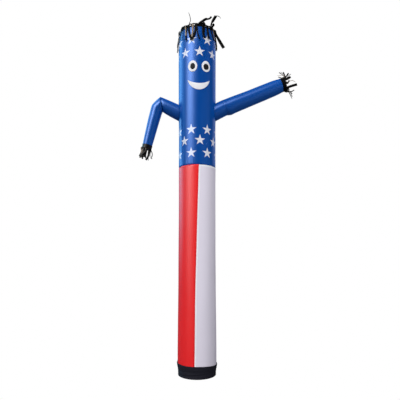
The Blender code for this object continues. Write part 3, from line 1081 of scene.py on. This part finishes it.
def smoothPath(points, step, pieces=8):
    # evenly spaced points on a smooth line through the given ones, and its length
    fine = []
    for index, (start, end) in enumerate(zip(points, points[1:])):
        before = points[max(index - 1, 0)]
        after = points[min(index + 2, len(points) - 1)]
        for part in range(pieces):
            t = part / pieces
            linear, square = (end - before) * t, (2 * before - 5 * start + 4 * end - after) * t * t
            fine.append(0.5 * (2 * start + linear + square + (3 * start - before - 3 * end + after) * t**3))
    fine.append(points[-1])
    lengths = lengthsAlong(fine)
    count = max(4, round(lengths[-1] / step))
    spaced, index = [], 0
    for number in range(count + 1):
        goal = lengths[-1] * number / count
        while index < len(fine) - 2 and lengths[index + 1] < goal:
            index += 1
        span = lengths[index + 1] - lengths[index]
        spaced.append(fine[index].lerp(fine[index + 1], (goal - lengths[index]) / span if span else 0.0))
    return spaced, lengths[-1]


def layRibbon(bm, points, across, width, twist=0.0, root=1.0, tip=0.75, taper=0.9, pale=False):
    # a flat ribbon along the points: across is its width's direction at the start and twist its turn
    # by the end; with no across it shows its flat side to the front
    path, length = smoothPath(points, ribbon["step"])
    count = len(path) - 1
    frames = []
    facing = across is None
    across = across or (path[1] - path[0]).cross(front)
    before = (path[1] - path[0]).normalized()
    for index, point in enumerate(path):
        ahead = (path[min(index + 1, count)] - path[max(index - 1, 0)]).normalized()
        across = before.rotation_difference(ahead) @ across
        if facing:
            flatOn = ahead.cross(front)
            flatOn = flatOn if flatOn.dot(across) > 0 else -flatOn
            across = across.lerp(flatOn, min(1.0, ribbon["squareUp"] * flatOn.length))
        across = (across - ahead * across.dot(ahead)).normalized()
        before = ahead
        turned = Matrix.Rotation(twist * index / count, 3, ahead) @ across
        frames.append((point, turned, ahead.cross(turned)))

    def place(share, up):
        index = min(count, round(up * count))
        point, side, flat = frames[index]
        narrow = 1.0 - (1.0 - tip) * max(0.0, (up - taper) / (1.0 - taper)) ** 2
        narrow *= root + (1.0 - root) * min(1.0, up / ribbon["openBy"]) ** 2
        offset = (share - 0.5) * width * narrow
        return point + side * offset + flat * (ribbon["cup"] * width * (1 - (2 * share - 1) ** 2))

    # painted glint: the ribbon's pattern is shifted to where the tape is painted pale
    shift = paleRibbonUv if pale else 0.0
    clothGrid(bm, 2, count, place, lambda share, up: (share * width + shift, up * length))


# the hair: a band round the rim and the ribbons cut into it
hair = {
    "bandHeight": 0.012,
    "bandGap": 0.0019,
    "bandLip": 0.0005,
    "bandRadius": 0.15,
    "bandSlack": (0.0004, 9.0, 40.0),
    "grid": (192, 4),
    "rootDepth": 0.006,
    # how a ribbon folds over the rim: way out, rise and share of the crest's height
    "foldOver": (
        (0.0, -0.006, 0.0), (0.0002, 0.0, 0.0), (0.0012, 0.0, 0.6),
        (0.004, 0.0, 1.0), (0.008, 0.0, 0.7), (0.0094, -0.002, 0.0),
    ),
    "lift": 0.0045,
    "tipLift": 0.006,
    # ribbons at the sides and behind, spread at random
    "facets": 96,
    "seeds": (11, 23),
    "keptShare": 0.86,
    "lengths": (0.085, 0.135),
    "widths": (0.0085, 0.012),
    "sway": 0.0035,
    "swayRadius": 0.16,
    "curl": 0.6,
    "drift": 5.0,
    "driftWaves": 2.4,
    "sideTwist": 2.2,  # ribbons at the sides turn this much more, so they show
    "sideReach": 14.0,
    "frontFrom": -80.0,
    "frontTo": 80.0,
    # angle in degrees, height of the jumble of folds above the rim there
    "crest": (
        (-180, 0.008), (-90, 0.013), (-57, 0.016), (-45, 0.011), (-27, 0.006), (-19, 0.003), (-6.5, 0.012),
        (6, 0.015), (22, 0.006), (35, 0.005), (46, 0.011), (90, 0.013), (180, 0.008),
    ),
    "frontTip": 0.85,
    # ribbons tangled along the rim: height of the root under it, ways out that take turns, twist, tip
    "tangleDepth": 0.004,
    "tangleOut": (0.001, 0.004),
    "tangleTwist": 0.4,
    "tangleTip": 0.7,
    "looseRise": 0.002,
    "looseTaper": 0.75,
}
# ribbons that hang in front: width (minus for one painted pale, a painted glint), twist, then (angle,
# height) down the head
frontHair = (
    (0.013, 1.3, ((-54, 2.856), (-61, 2.835), (-67, 2.812), (-74, 2.77), (-80, 2.722), (-82, 2.676))),
    (0.01, 0.0, ((-51, 2.852), (-56, 2.822), (-61, 2.797), (-60, 2.76), (-61, 2.728))),
    (0.0075, 0.5, ((-44, 2.852), (-47, 2.816), (-49, 2.777), (-45, 2.731))),
    (-0.013, -0.3, ((-37, 2.842), (-36, 2.815), (-35, 2.79), (-34, 2.762))),
    (0.015, 0.2, ((-35, 2.852), (-34, 2.821), (-34.6, 2.775), (-33, 2.722))),
    (0.018, 0.0, ((-27, 2.85), (-26, 2.822), (-21.7, 2.766), (-16.7, 2.717))),
    (-0.014, 0.2, ((-13, 2.846), (-13.4, 2.795), (-14.7, 2.74))),
    (0.018, 0.0, ((-4, 2.852), (-4.3, 2.814), (-8, 2.761), (-15.0, 2.718))),
    (0.0105, -0.2, ((0, 2.854), (0.4, 2.8), (3.2, 2.76), (7, 2.72))),
    (0.0185, 0.1, ((17.6, 2.852), (18.6, 2.83), (18.0, 2.791), (19.5, 2.754), (23.6, 2.735))),
    (0.01, -0.5, ((22.6, 2.852), (23.5, 2.82), (21.0, 2.78), (19.5, 2.74))),
    (0.0185, 0.0, ((33.4, 2.852), (33.4, 2.829), (34.3, 2.774), (36.6, 2.735))),
    (0.011, 0.0, ((43.9, 2.852), (46.5, 2.829), (53.5, 2.782), (56.9, 2.745))),
    (0.012, 0.3, ((50.4, 2.854), (60, 2.842), (66.6, 2.826), (71.4, 2.806), (65.4, 2.745))),
    (-0.008, -0.4, ((57, 2.85), (62, 2.826), (61, 2.79), (63, 2.755))),
    (0.011, -1.2, ((66, 2.852), (73, 2.835), (79, 2.812), (82, 2.775), (80, 2.716))),
)
# ribbons that stand free: root angle in degrees, width, twist, share of the width at the root and
# at the tip, then points
looseHair = (
    (-24.5, 0.005, 0.6, 1.0, 0.5, ((-0.064, -0.138, 2.868), (-0.054, -0.142, 2.892),
        (-0.059, -0.146, 2.926), (-0.07, -0.148, 2.957))),
    (5.6, 0.021, 0.2, 1.0, 0.3, ((0.02, -0.15, 2.863), (0.041, -0.151, 2.878), (0.074, -0.15, 2.9),
        (0.09, -0.15, 2.901))),
    (7.6, 0.015, 0.0, 0.2, 1.0, ((0.06, -0.148, 2.89), (0.092, -0.151, 2.9), (0.104, -0.15, 2.904),
        (0.119, -0.15, 2.921))),
    (13.1, 0.013, -0.2, 1.0, 0.8, ((0.04, -0.152, 2.872), (0.053, -0.158, 2.868), (0.066, -0.16, 2.85))),
    (50.6, 0.024, 0.0, 0.12, 1.0, ((0.114, -0.1, 2.868), (0.118, -0.104, 2.884), (0.129, -0.108, 2.904),
        (0.157, -0.112, 2.95))),
    (53.0, 0.005, 0.4, 1.0, 0.5, ((0.128, -0.106, 2.902), (0.152, -0.112, 2.945),
        (0.168, -0.112, 2.949), (0.186, -0.11, 2.944), (0.196, -0.108, 2.93))),
    (56.0, 0.018, -0.3, 1.0, 0.8, ((0.126, -0.098, 2.864), (0.139, -0.102, 2.874), (0.13, -0.106, 2.884))),
    (73.1, 0.026, 0.0, 0.6, 1.0, ((0.152, -0.046, 2.86), (0.16, -0.044, 2.826), (0.192, -0.046, 2.764),
        (0.225, -0.048, 2.706))),
    (-166.9, 0.01, 0.8, 1.0, 0.6, ((-0.028, 0.153, 2.868), (-0.03, 0.17, 2.905), (-0.05, 0.19, 2.936))),
    (140.6, 0.01, -0.8, 1.0, 0.6, ((0.092, 0.122, 2.868), (0.1, 0.14, 2.896), (0.118, 0.152, 2.916))),
)
# ribbons tangled along the rim: width, then (angle in degrees, height) along it
rimTangle = (
    (0.016, ((-66, 2.842), (-60, 2.849), (-52, 2.856), (-40, 2.856))),
    (0.009, ((-50, 2.851), (-40, 2.856), (-30, 2.854), (-22, 2.86), (-16, 2.856))),
    (0.009, ((-18, 2.856), (-10, 2.86), (-3, 2.855))),
    (0.011, ((4, 2.856), (8, 2.862), (14, 2.867), (22, 2.858))),
    (0.01, ((10, 2.856), (20, 2.86), (30, 2.854), (37, 2.852))),
    (0.014, ((35, 2.85), (42, 2.856), (50, 2.862), (58, 2.854))),
    (0.008, ((52, 2.85), (62, 2.852), (72, 2.846), (82, 2.838))),
    (0.012, ((-92, 2.846), (-82, 2.858), (-72, 2.85))),
    (0.012, ((112, 2.85), (126, 2.86), (140, 2.852))),
    (0.012, ((-160, 2.85), (-146, 2.86), (-132, 2.852))),
)
crestAt = curveThrough(hair["crest"])
rimRadius = radiusAt(rimHeight) + hair["bandGap"]


def foldOver(angle):
    # the start of a hanging ribbon: out of the band, over and down
    crest = crestAt(angle)[0]
    return [
        around(radians(angle), rimRadius + out, rimHeight + rise + share * crest)
        for out, rise, share in hair["foldOver"]
    ]


def hangDown(angle, height, share):
    lift = hair["lift"] + hair["tipLift"] * share * share
    return around(radians(angle), radiusAt(min(height, rimHeight)) + lift, height)


def hang(bm, angle, steps, width, twist, **more):
    # a ribbon over the rim; steps are the angle, height and share of the way down of its points
    path = foldOver(angle) + [hangDown(*step) for step in steps]
    layRibbon(bm, path, around(radians(angle) + pi / 2, 1.0, 0.0), width, twist, **more)


def hairBand(across, up):
    angle = (across - 0.5) * tau
    height = rimHeight + hair["bandLip"] - hair["bandHeight"] * (1 - up)
    out = hair["bandGap"] + wobble(hair["bandSlack"], angle, height, 7.0)
    return around(angle, radiusAt(height) + out, height)


def hangAtRandom(bm):
    rng, extra = (random.Random(seed) for seed in hair["seeds"])
    for facet in range(hair["facets"]):
        angle = (facet + 0.5) / hair["facets"] * 360 - 180
        length = rng.uniform(*hair["lengths"])
        sway = rng.uniform(-hair["sway"], hair["sway"])
        kept = rng.random() < hair["keptShare"]
        width = extra.uniform(*hair["widths"])
        curl = extra.uniform(-hair["curl"], hair["curl"])
        drift = extra.uniform(-hair["drift"], hair["drift"])
        if abs(abs(angle) - 90) < hair["sideReach"]:
            curl *= hair["sideTwist"]
        if facet % 2 == 0 or not kept or hair["frontFrom"] < angle < hair["frontTo"]:
            continue
        steps = []
        for share in (0.2, 0.4, 0.6, 0.8, 1.0):
            turn = angle + degrees(sway * share**1.5 / hair["swayRadius"])
            turn += drift * share * sin(hair["driftWaves"] * share + curl)
            steps.append((turn, rimHeight - hair["rootDepth"] - length * share, share))
        hang(bm, angle, steps, width, curl)


def makeHair():
    bm = bmesh.new()
    girth = tau * hair["bandRadius"]
    clothGrid(bm, *hair["grid"], hairBand, lambda across, up: (across * girth, hair["bandHeight"] * up))
    closeSeam(bm)
    hangAtRandom(bm)
    for width, twist, line in frontHair:
        drop = rimHeight - line[-1][1]
        steps = [(turn, height, (rimHeight - height) / drop) for turn, height in line[1:]]
        hang(bm, line[0][0], steps, abs(width), twist, tip=hair["frontTip"], pale=width < 0)
    for width, line in rimTangle:
        path = [around(radians(line[0][0]), rimRadius, rimHeight - hair["tangleDepth"])]
        for index, (turn, height) in enumerate(line):
            path.append(around(radians(turn), rimRadius + hair["tangleOut"][index % 2], height))
        layRibbon(bm, path, Vector((0.0, 0.0, 1.0)), width, hair["tangleTwist"], tip=hair["tangleTip"])
    for angle, width, twist, root, tip, line in looseHair:
        rises = (-hair["rootDepth"], hair["looseRise"])
        path = [around(radians(angle), rimRadius, rimHeight + rise) for rise in rises]
        path += [Vector(point) for point in line]
        layRibbon(bm, path, None, width, twist, root, tip, hair["looseTaper"])
    finishPiece("headFringe", bm, ribbonFilm, "black_ribbon", "head_fringe", ribbon["wall"])


makeHair()
print("hair")


# the hands: a band that laps the sleeve's end, with ribbons from its far edge
hand = {
    "lap": 0.014,
    "length": 0.036,
    "gap": 0.002,
    "rootDepth": 0.006,
    "edge": 0.001,
    "flare": 0.1,
    "slack": (0.001, 3.0, 30.0),
    "girth": 0.31,
    "grid": (96, 8),
    "frontTaper": 0.75,
    "backPull": 0.037,  # how far the ribbons at the back first run on along the arm
    "backTwist": 0.7,
    "backTip": 0.6,
    "right": {
        "droop": 0.016,
        # turn in degrees, then how far along x, to the front and up the end lies
        "back": (
            (185, 0.036, 0.004, -0.05), (210, 0.06, -0.02, -0.03), (240, 0.072, -0.046, -0.008),
            (270, 0.062, -0.05, 0.026), (300, 0.03, -0.032, 0.046), (330, -0.03, -0.02, 0.04),
            (0, -0.03, 0.0, 0.05),
        ),
        "backWidth": 0.007,
        # turn in degrees, width (minus for one painted pale, a painted glint), twist, tip share, then
        # points
        "front": (
            (18, 0.01, 0.25, 0.9, ((0.745, -0.024, 2.466), (0.738, -0.026, 2.486), (0.73, -0.028, 2.506))),
            (30, 0.005, 0.45, 0.6, ((0.743, -0.03, 2.464), (0.727, -0.032, 2.489), (0.705, -0.034, 2.504))),
            (46, 0.012, -0.2, 0.9, ((0.756, -0.042, 2.467), (0.77, -0.044, 2.49))),
            (56, 0.005, 0.35, 0.6, ((0.757, -0.05, 2.449), (0.774, -0.052, 2.467), (0.79, -0.052, 2.478))),
            (66, 0.019, 0.1, 0.8, ((0.75, -0.053, 2.432), (0.765, -0.056, 2.439), (0.785, -0.056, 2.453))),
            (84, 0.012, 0.4, 0.9, ((0.755, -0.06, 2.392), (0.764, -0.064, 2.405), (0.773, -0.062, 2.42))),
            (98, -0.004, 0.7, 0.6, ((0.757, -0.058, 2.406), (0.773, -0.06, 2.411),
                (0.796, -0.062, 2.418), (0.822, -0.064, 2.404))),
            (132, 0.021, 0.1, 1.0, ((0.762, -0.05, 2.364), (0.795, -0.054, 2.375), (0.838, -0.056, 2.387))),
            (148, 0.011, -0.25, 1.0, ((0.766, -0.04, 2.362), (0.773, -0.042, 2.34))),
            (156, 0.008, 0.25, 0.8, ((0.772, -0.03, 2.341), (0.792, -0.032, 2.334),
                (0.819, -0.034, 2.347))),
            (166, 0.005, 0.45, 0.5, ((0.774, -0.02, 2.336), (0.791, -0.022, 2.303), (0.8, -0.024, 2.275))),
            (172, 0.005, -0.4, 0.5, ((0.776, -0.014, 2.343), (0.794, -0.014, 2.337),
                (0.808, -0.014, 2.321))),
            (36, -0.004, 0.5, 0.5, ((0.736, -0.036, 2.47), (0.718, -0.04, 2.47), (0.692, -0.044, 2.468),
                (0.675, -0.046, 2.467))),
        ),
    },
    "left": {
        "droop": 0.0,
        "back": (
            (200, 0.008, -0.008, -0.07), (225, 0.002, -0.012, -0.06), (250, -0.004, -0.018, -0.08),
            (275, -0.012, -0.02, -0.064), (305, -0.018, -0.014, -0.078), (335, -0.026, -0.008, -0.062),
        ),
        "backWidth": 0.012,
        "front": (
            (12, 0.014, 0.1, 0.9, ((-0.466, -0.012, 1.825), (-0.48, -0.014, 1.774))),
            (26, -0.01, 0.05, 0.9, ((-0.46, -0.03, 1.838), (-0.462, -0.034, 1.808))),
            (38, 0.013, -0.15, 0.8, ((-0.46, -0.03, 1.802), (-0.454, -0.032, 1.76))),
            (62, 0.01, 0.2, 0.8, ((-0.449, -0.042, 1.815), (-0.455, -0.044, 1.785),
                (-0.47, -0.046, 1.766))),
            (95, 0.018, -0.15, 0.9, ((-0.428, -0.048, 1.821), (-0.437, -0.05, 1.789),
                (-0.44, -0.05, 1.77))),
            (128, 0.016, 0.15, 0.9, ((-0.412, -0.046, 1.838), (-0.432, -0.054, 1.818),
                (-0.469, -0.058, 1.78))),
            (150, 0.018, 0.1, 0.9, ((-0.402, -0.03, 1.8), (-0.411, -0.034, 1.775),
                (-0.426, -0.036, 1.748))),
            (175, 0.006, 0.35, 0.6, ((-0.38, -0.006, 1.82), (-0.376, -0.008, 1.795),
                (-0.387, -0.01, 1.764))),
        ),
    },
}


def handAxis(arm):
    # the way that the sleeve's end points
    half = halves(arm["sleeve"](arm["sleeveLength"]))[1]
    return half.normalized().cross(front) * arm["side"]


def onBand(name, turn, along, lift=0.0):
    # a point of the hand's band, so far past the sleeve's end
    arm, place = arms[name], arms[name]["sleeveLength"]
    past = max(0.0, along) / (hand["length"] - hand["lap"])
    sag = hand[name]["droop"] * past * (0.5 - 0.5 * cos(turn))
    out = hand["gap"] + lift + armFold(arm, "sleeve", turn, place)
    return armSkin(arm["sleeve"](place), turn, out) + handAxis(arm) * along - Vector((0.0, 0.0, sag))


def makeHand(name, arm):
    bm = bmesh.new()
    far = hand["length"] - hand["lap"]

    def band(across, up):
        turn = arm["side"] * across * tau
        along = hand["length"] * up - hand["lap"]
        widening = hand["flare"] * max(0.0, -along) + wobble(hand["slack"], turn, along, 50.0) * up
        return onBand(name, turn, along, widening)

    def rooted(angle):
        # the first two points of a ribbon
        return [onBand(name, radians(angle), far + past) for past in (-hand["rootDepth"], hand["edge"])]

    clothGrid(bm, *hand["grid"], band, lambda across, up: (across * hand["girth"], hand["length"] * up))
    closeSeam(bm)
    # a minus width marks a ribbon painted pale, a painted glint
    for angle, width, twist, tip, line in hand[name]["front"]:
        path = rooted(angle) + [Vector(point) for point in line]
        layRibbon(bm, path, None, abs(width), twist, tip=tip, taper=hand["frontTaper"], pale=width < 0)
    for angle, reach, forward, rise in hand[name]["back"]:
        root, edge = rooted(angle)
        end = edge + Vector((reach, -forward, rise))
        pulled = edge + handAxis(arm) * hand["backPull"]
        path = [root, edge]
        for t in (0.25, 0.5, 0.75, 1.0):
            path.append(edge * (1 - t) ** 2 + pulled * 2 * t * (1 - t) + end * t * t)
        # laid flat along the band's edge, so its width points from one side of the root to the other
        before, after = (onBand(name, radians(angle) + step, far) for step in (-0.2, 0.2))
        width = hand[name]["backWidth"]
        layRibbon(bm, path, after - before, width, hand["backTwist"], tip=hand["backTip"])
    node = name + "_hand_fringe"
    finishPiece(name + "HandFringe", bm, handFilm[name], "black_ribbon", node, ribbon["wall"])


for name, arm in arms.items():
    makeHand(name, arm)
print("hands")


# stitching: rows of short thread lengths along every seam
stitch = {
    "pitch": 0.0052,
    "length": 0.0036,
    "width": 0.0008,
    "height": 0.0005,
    "lift": 0.0002,
    # rows, by their distance from the seam
    "waistRows": (0.0045, 0.0115),
    "shoulderRows": (0.0045, 0.0105),
    "sleeveRows": (0.005, 0.011),
    "sideRows": (0.009, -0.006),
    "backRow": 0.006,
    "underWaist": 0.01,
    "dipReach": 0.5,  # above the waist, where its dip has gone
    # heights between which the seams are sewn
    "lower": (0.106, 1.672),
    "upper": (1.708, 2.828),
    # along the top of each half: where a row starts, and how much shorter it is
    "topStarts": {"white": 0.006, "red": 0.01},
    "topShort": 0.02,
    "collarRows": (0.07, 0.93),  # shares of its height
    "collarLift": 0.0003,
    "patchPitch": 0.0036,
    "patchEdge": 0.0032,
    "jawEdge": 0.0034,
    "ovalLift": 0.0006,
    "mouthLift": 0.0005,
    "mouthFrom": 0.03,
    "mouthThin": 0.008,  # thinner than this, its corners aren't sewn
}
sewn = {colour: bmesh.new() for colour in threads}


def sew(colour, line, closed=False, pitch=stitch["pitch"]):
    # line: (point on the cloth, direction away from the cloth) close together along the seam
    if closed:
        line = line + line[:1]
    lengths = lengthsAlong([point for point, away in line])
    count = max(1, round(lengths[-1] / pitch))
    index = 0
    for number in range(count):
        goal = lengths[-1] * (number + 0.5) / count
        while lengths[index + 1] < goal:
            index += 1
        (start, away), (end, _) = line[index], line[index + 1]
        point = start.lerp(end, (goal - lengths[index]) / (lengths[index + 1] - lengths[index]))
        ahead = (end - start).normalized()
        away = (away - ahead * away.dot(ahead)).normalized()
        turn = Matrix((ahead, away.cross(ahead), away)).transposed().to_4x4()
        length = stitch["length"] * pitch / stitch["pitch"]
        size = Matrix.Diagonal((length, stitch["width"], stitch["height"], 1.0))
        bmesh.ops.create_cube(sewn[colour], size=1.0, matrix=Matrix.Translation(point) @ turn @ size)


def ringLine(place, count=256, first=-pi):
    # the points of a line round a tube; count is how finely it is followed
    return [place(index / count * tau + first) for index in range(count)]


def straightLine(place, low, high, count):
    return [place(low + (high - low) * index / count) for index in range(count + 1)]


def onBody(angle, height):
    dip = body["waistDip"] * sin(angle) ** 2 * max(0.0, 1 - (height - waistHeight) / stitch["dipReach"])
    radius = radiusAt(max(height, waistHeight)) + bodyFold(angle, height - dip) + stitch["lift"]
    return around(angle, radius, height - dip), around(angle, 1.0, 0.0)


def onLower(away, height, half):
    # away is the distance round the cloth from the front seam (half 0) or the back one (half 1)
    radius, seam = lowerTube(height)
    angle = radians(seam) + half * pi + away / radius
    return lowerSkin(angle, height, stitch["lift"]), around(angle, 1.0, 0.0)


def awayFrom(section, turn):
    # the way straight out of the arm; its length doesn't matter
    return armSkin(section, turn, 0.01) - armSkin(section, turn)


def onShoulder(arm, turn, past):
    start = rootPlace(arm, turn, 0.0)
    place = start + past
    return shoulderSkin(arm, turn, start, place, stitch["lift"]), awayFrom(arm["shoulder"](place), turn)


def onSleeve(arm, turn, past):
    return sleeveSkin(arm, turn, past, stitch["lift"]), awayFrom(arm["sleeve"](past), turn)


def onPatch(angle, sideways, height, lift):
    point = onHead(angle, sideways, height, lift + face["wall"])
    return point, Vector((point.x, point.y, 0.0))


def sewOval(colour, oval, lift):
    angle, height, halfWidth, halfHeight = oval
    share = 1 - stitch["patchEdge"] / halfWidth

    def place(turn):
        sideways, rise = halfWidth * share * sin(turn), halfHeight * share * cos(turn)
        return onPatch(angle, sideways, height + rise, lift + stitch["ovalLift"])

    sew(colour, ringLine(place, count=96, first=0.0), closed=True, pitch=stitch["patchPitch"])


def mouthLine():
    line = []
    for edge in (1, 0):
        for index in range(61):
            way = index / 60 if edge else 1 - index / 60
            sideways, bottom, top = mouthOutline(stitch["mouthFrom"] + (1 - 2 * stitch["mouthFrom"]) * way)
            height = top - stitch["patchEdge"] if edge else bottom + stitch["jawEdge"]
            if top - bottom > stitch["mouthThin"]:
                line.append(onPatch(mouth["angle"], sideways, height, face["gap"] + stitch["mouthLift"]))
    return line


for row in stitch["waistRows"]:
    sew("blue", ringLine(lambda angle: onBody(angle, waistHeight + row)), closed=True)
for half, colours in enumerate((("white", "red"), ("red", "white"))):
    for colour, row in zip(colours, stitch["sideRows"]):
        sew(colour, straightLine(lambda height: onLower(row, height, half), *stitch["lower"], count=330))
for half, (colour, start) in enumerate(stitch["topStarts"].items()):
    end = start + halfRound - stitch["topShort"]
    level = lowerTop - stitch["underWaist"]
    sew(colour, straightLine(lambda away: onLower(away, level, half), start, end, count=120))
for side in (-1, 1):
    angle = pi * side - side * stitch["backRow"] / printRadius
    sew("blue", straightLine(lambda height: onBody(angle, height), *stitch["upper"], count=200))
for arm in arms.values():
    for rows, place in ((stitch["shoulderRows"], onShoulder), (stitch["sleeveRows"], onSleeve)):
        for row in rows:
            sew("blue", ringLine(lambda turn: place(arm, turn, row), count=120, first=0.0), closed=True)
for name, *oval in face["eyes"]:
    sewOval("white", oval, face["gap"])
for name, *oval in face["pupils"]:
    sewOval("black", oval, face["overEye"])
sew("white", mouthLine(), closed=True, pitch=stitch["patchPitch"])
for up in stitch["collarRows"]:
    def onCollar(angle):
        lift = around(angle, stitch["collarLift"], 0.0)
        return collarPlace(angle / tau + 0.5, up) + lift, around(angle, 1.0, 0.0)
    sew("black", ringLine(onCollar), closed=True)
slots = {"blue": "blue_nylon", "red": "red_nylon", "white": "white_nylon", "black": "black_cuff"}
for colour, bm in sewn.items():
    finishPiece(colour + "Stitching", bm, threads[colour], slots[colour], smooth=False)
print("stitching")


# white studio: floor, lights and what the cloth reflects
studio = {
    "floorSize": 40.0,
    "floorTone": 0.08,
    "floorRough": 0.9,
    "floorGloss": 0.1,
    # soft lights that give no gloss: name, azimuth from the front towards +X, distance, height,
    # width, tall, power, tilt
    "fills": (
        ("fillFront", 41, 4.0, 1.8, 3.0, 4.0, 98.0, 90), ("fillBack", 172, 4.0, 1.8, 3.0, 4.0, 70.0, 90),
        ("fillTop", 0, 0.6, 4.6, 3.0, 2.0, 52.0, 0),
    ),
    # glows of the studio that the cloth mirrors: azimuth, spread, radiance, share of it at the foot,
    # degrees above the horizon where it grows and where it fades
    "glows": (
        (-48.0, 19.0, (6.3, 6.2, 6.1), 0.05, (-6.0, 32.0), (34.0, 58.0)),
        (-122.0, 25.0, (1.0, 2.3, 3.1), 0.0, (-3.0, 10.0), (50.0, 80.0)),
        (73.0, 12.0, (0.25, 0.25, 0.25), 0.3, (0.0, 8.0), (50.0, 80.0)),
        (138.0, 20.0, (0.6, 0.6, 0.75), 0.1, (0.0, 8.0), (50.0, 80.0)),
    ),
    # small glows: azimuth, degrees above the horizon, spread, radiance
    "spots": ((-16.0, 42.0, 10.5, 4.0), (-32.0, 31.0, 9.0, 4.5)),
    "ambient": 0.004,
}


def lightBox(name, azimuth, distance, height, width, tall, power, tilt):
    lamp = bpy.data.objects.new(name, bpy.data.lights.new(name, "AREA"))
    lamp.data.shape = "RECTANGLE"
    lamp.data.size, lamp.data.size_y = width, tall
    lamp.data.energy = power
    lamp.visible_camera = False
    lamp.visible_glossy = False
    lamp.location = tubeAxis + around(radians(azimuth), distance, height)
    lamp.rotation_euler = (radians(tilt), 0.0, radians(azimuth))
    scene.collection.objects.link(lamp)


def forCamera(tree, rest, kind):
    # plain white to the camera, and something else to the light that bounces and mirrors
    seen = addNode(tree, "LightPath").outputs["Is Camera Ray"]
    white = addNode(tree, kind, Color=(1.0, 1.0, 1.0, 1.0), Strength=1.0).outputs[0]
    return addNode(tree, "MixShader", i0=seen, i1=rest, i2=white).outputs[0]


for box in studio["fills"]:
    lightBox(*box)

bm = bmesh.new()
bmesh.ops.create_grid(bm, x_segments=4, y_segments=4, size=studio["floorSize"] / 2)
mesh = bpy.data.meshes.new("studioFloor")
bm.to_mesh(mesh)
bm.free()
floor = bpy.data.objects.new("studioFloor", mesh)
scene.collection.objects.link(floor)
floorPaint, tree, shader = startMaterial("floorPaint")
feed(
    tree, shader, Base_Color=(studio["floorTone"],) * 3 + (1.0,),
    Roughness=studio["floorRough"], Specular_IOR_Level=studio["floorGloss"],
)
blend = forCamera(tree, shader.outputs[0], "Emission")
tree.links.new(blend, tree.nodes["Material Output"].inputs[0])
mesh.materials.append(floorPaint)


def fadeFrom(tree, off, spread):
    # 1 in the middle of a glow, fading as a bell does
    share = calc(tree, "DIVIDE", off, radians(spread))
    return calc(tree, "EXPONENT", calc(tree, "MULTIPLY", share, calc(tree, "MULTIPLY", share, -1.0)))


world = bpy.data.worlds.new("studioWorld")
world.use_nodes = True
scene.world = world
tree = world.node_tree
tree.nodes.clear()
toward = addNode(tree, "TexCoord").outputs["Generated"]
apart = split(tree, toward)
azimuth = calc(tree, "ARCTAN2", apart[0], calc(tree, "MULTIPLY", apart[1], -1.0))
rise = calc(tree, "DEGREES", calc(tree, "ARCSINE", apart[2]))
above = studio["ambient"]
for turn, lift, spread, radiance in studio["spots"]:
    aim = around(radians(turn), cos(radians(lift)), sin(radians(lift)))
    near = addNode(tree, "VectorMath", {"operation": "DOT_PRODUCT"}, i0=toward, i1=aim)
    off = calc(tree, "ARCCOSINE", near.outputs["Value"])
    above = calc(tree, "MULTIPLY_ADD", fadeFrom(tree, off, spread), radiance, above)
total = addNode(tree, "CombineXYZ", i0=above, i1=above, i2=above).outputs[0]
for centre, spread, radiance, below, grows, fades in studio["glows"]:
    off = calc(tree, "WRAP", calc(tree, "SUBTRACT", azimuth, radians(centre)), pi, -pi)
    upward = calc(tree, "MULTIPLY", fadeFrom(tree, off, spread), ramp(tree, rise, *grows, below, 1.0))
    share = calc(tree, "MULTIPLY", upward, ramp(tree, rise, *fades, 1.0, 0.0, "SMOOTHSTEP"))
    glow = addNode(tree, "VectorMath", {"operation": "SCALE"}, i0=radiance, Scale=share)
    added = addNode(tree, "VectorMath", {"operation": "ADD"}, i0=total, i1=glow.outputs[0])
    total = added.outputs[0]
lit = addNode(tree, "Background", Color=total, Strength=1.0).outputs[0]
addNode(tree, "OutputWorld", Surface=forCamera(tree, lit, "Background"))
scene.view_settings.view_transform = "Standard"
print("studio")
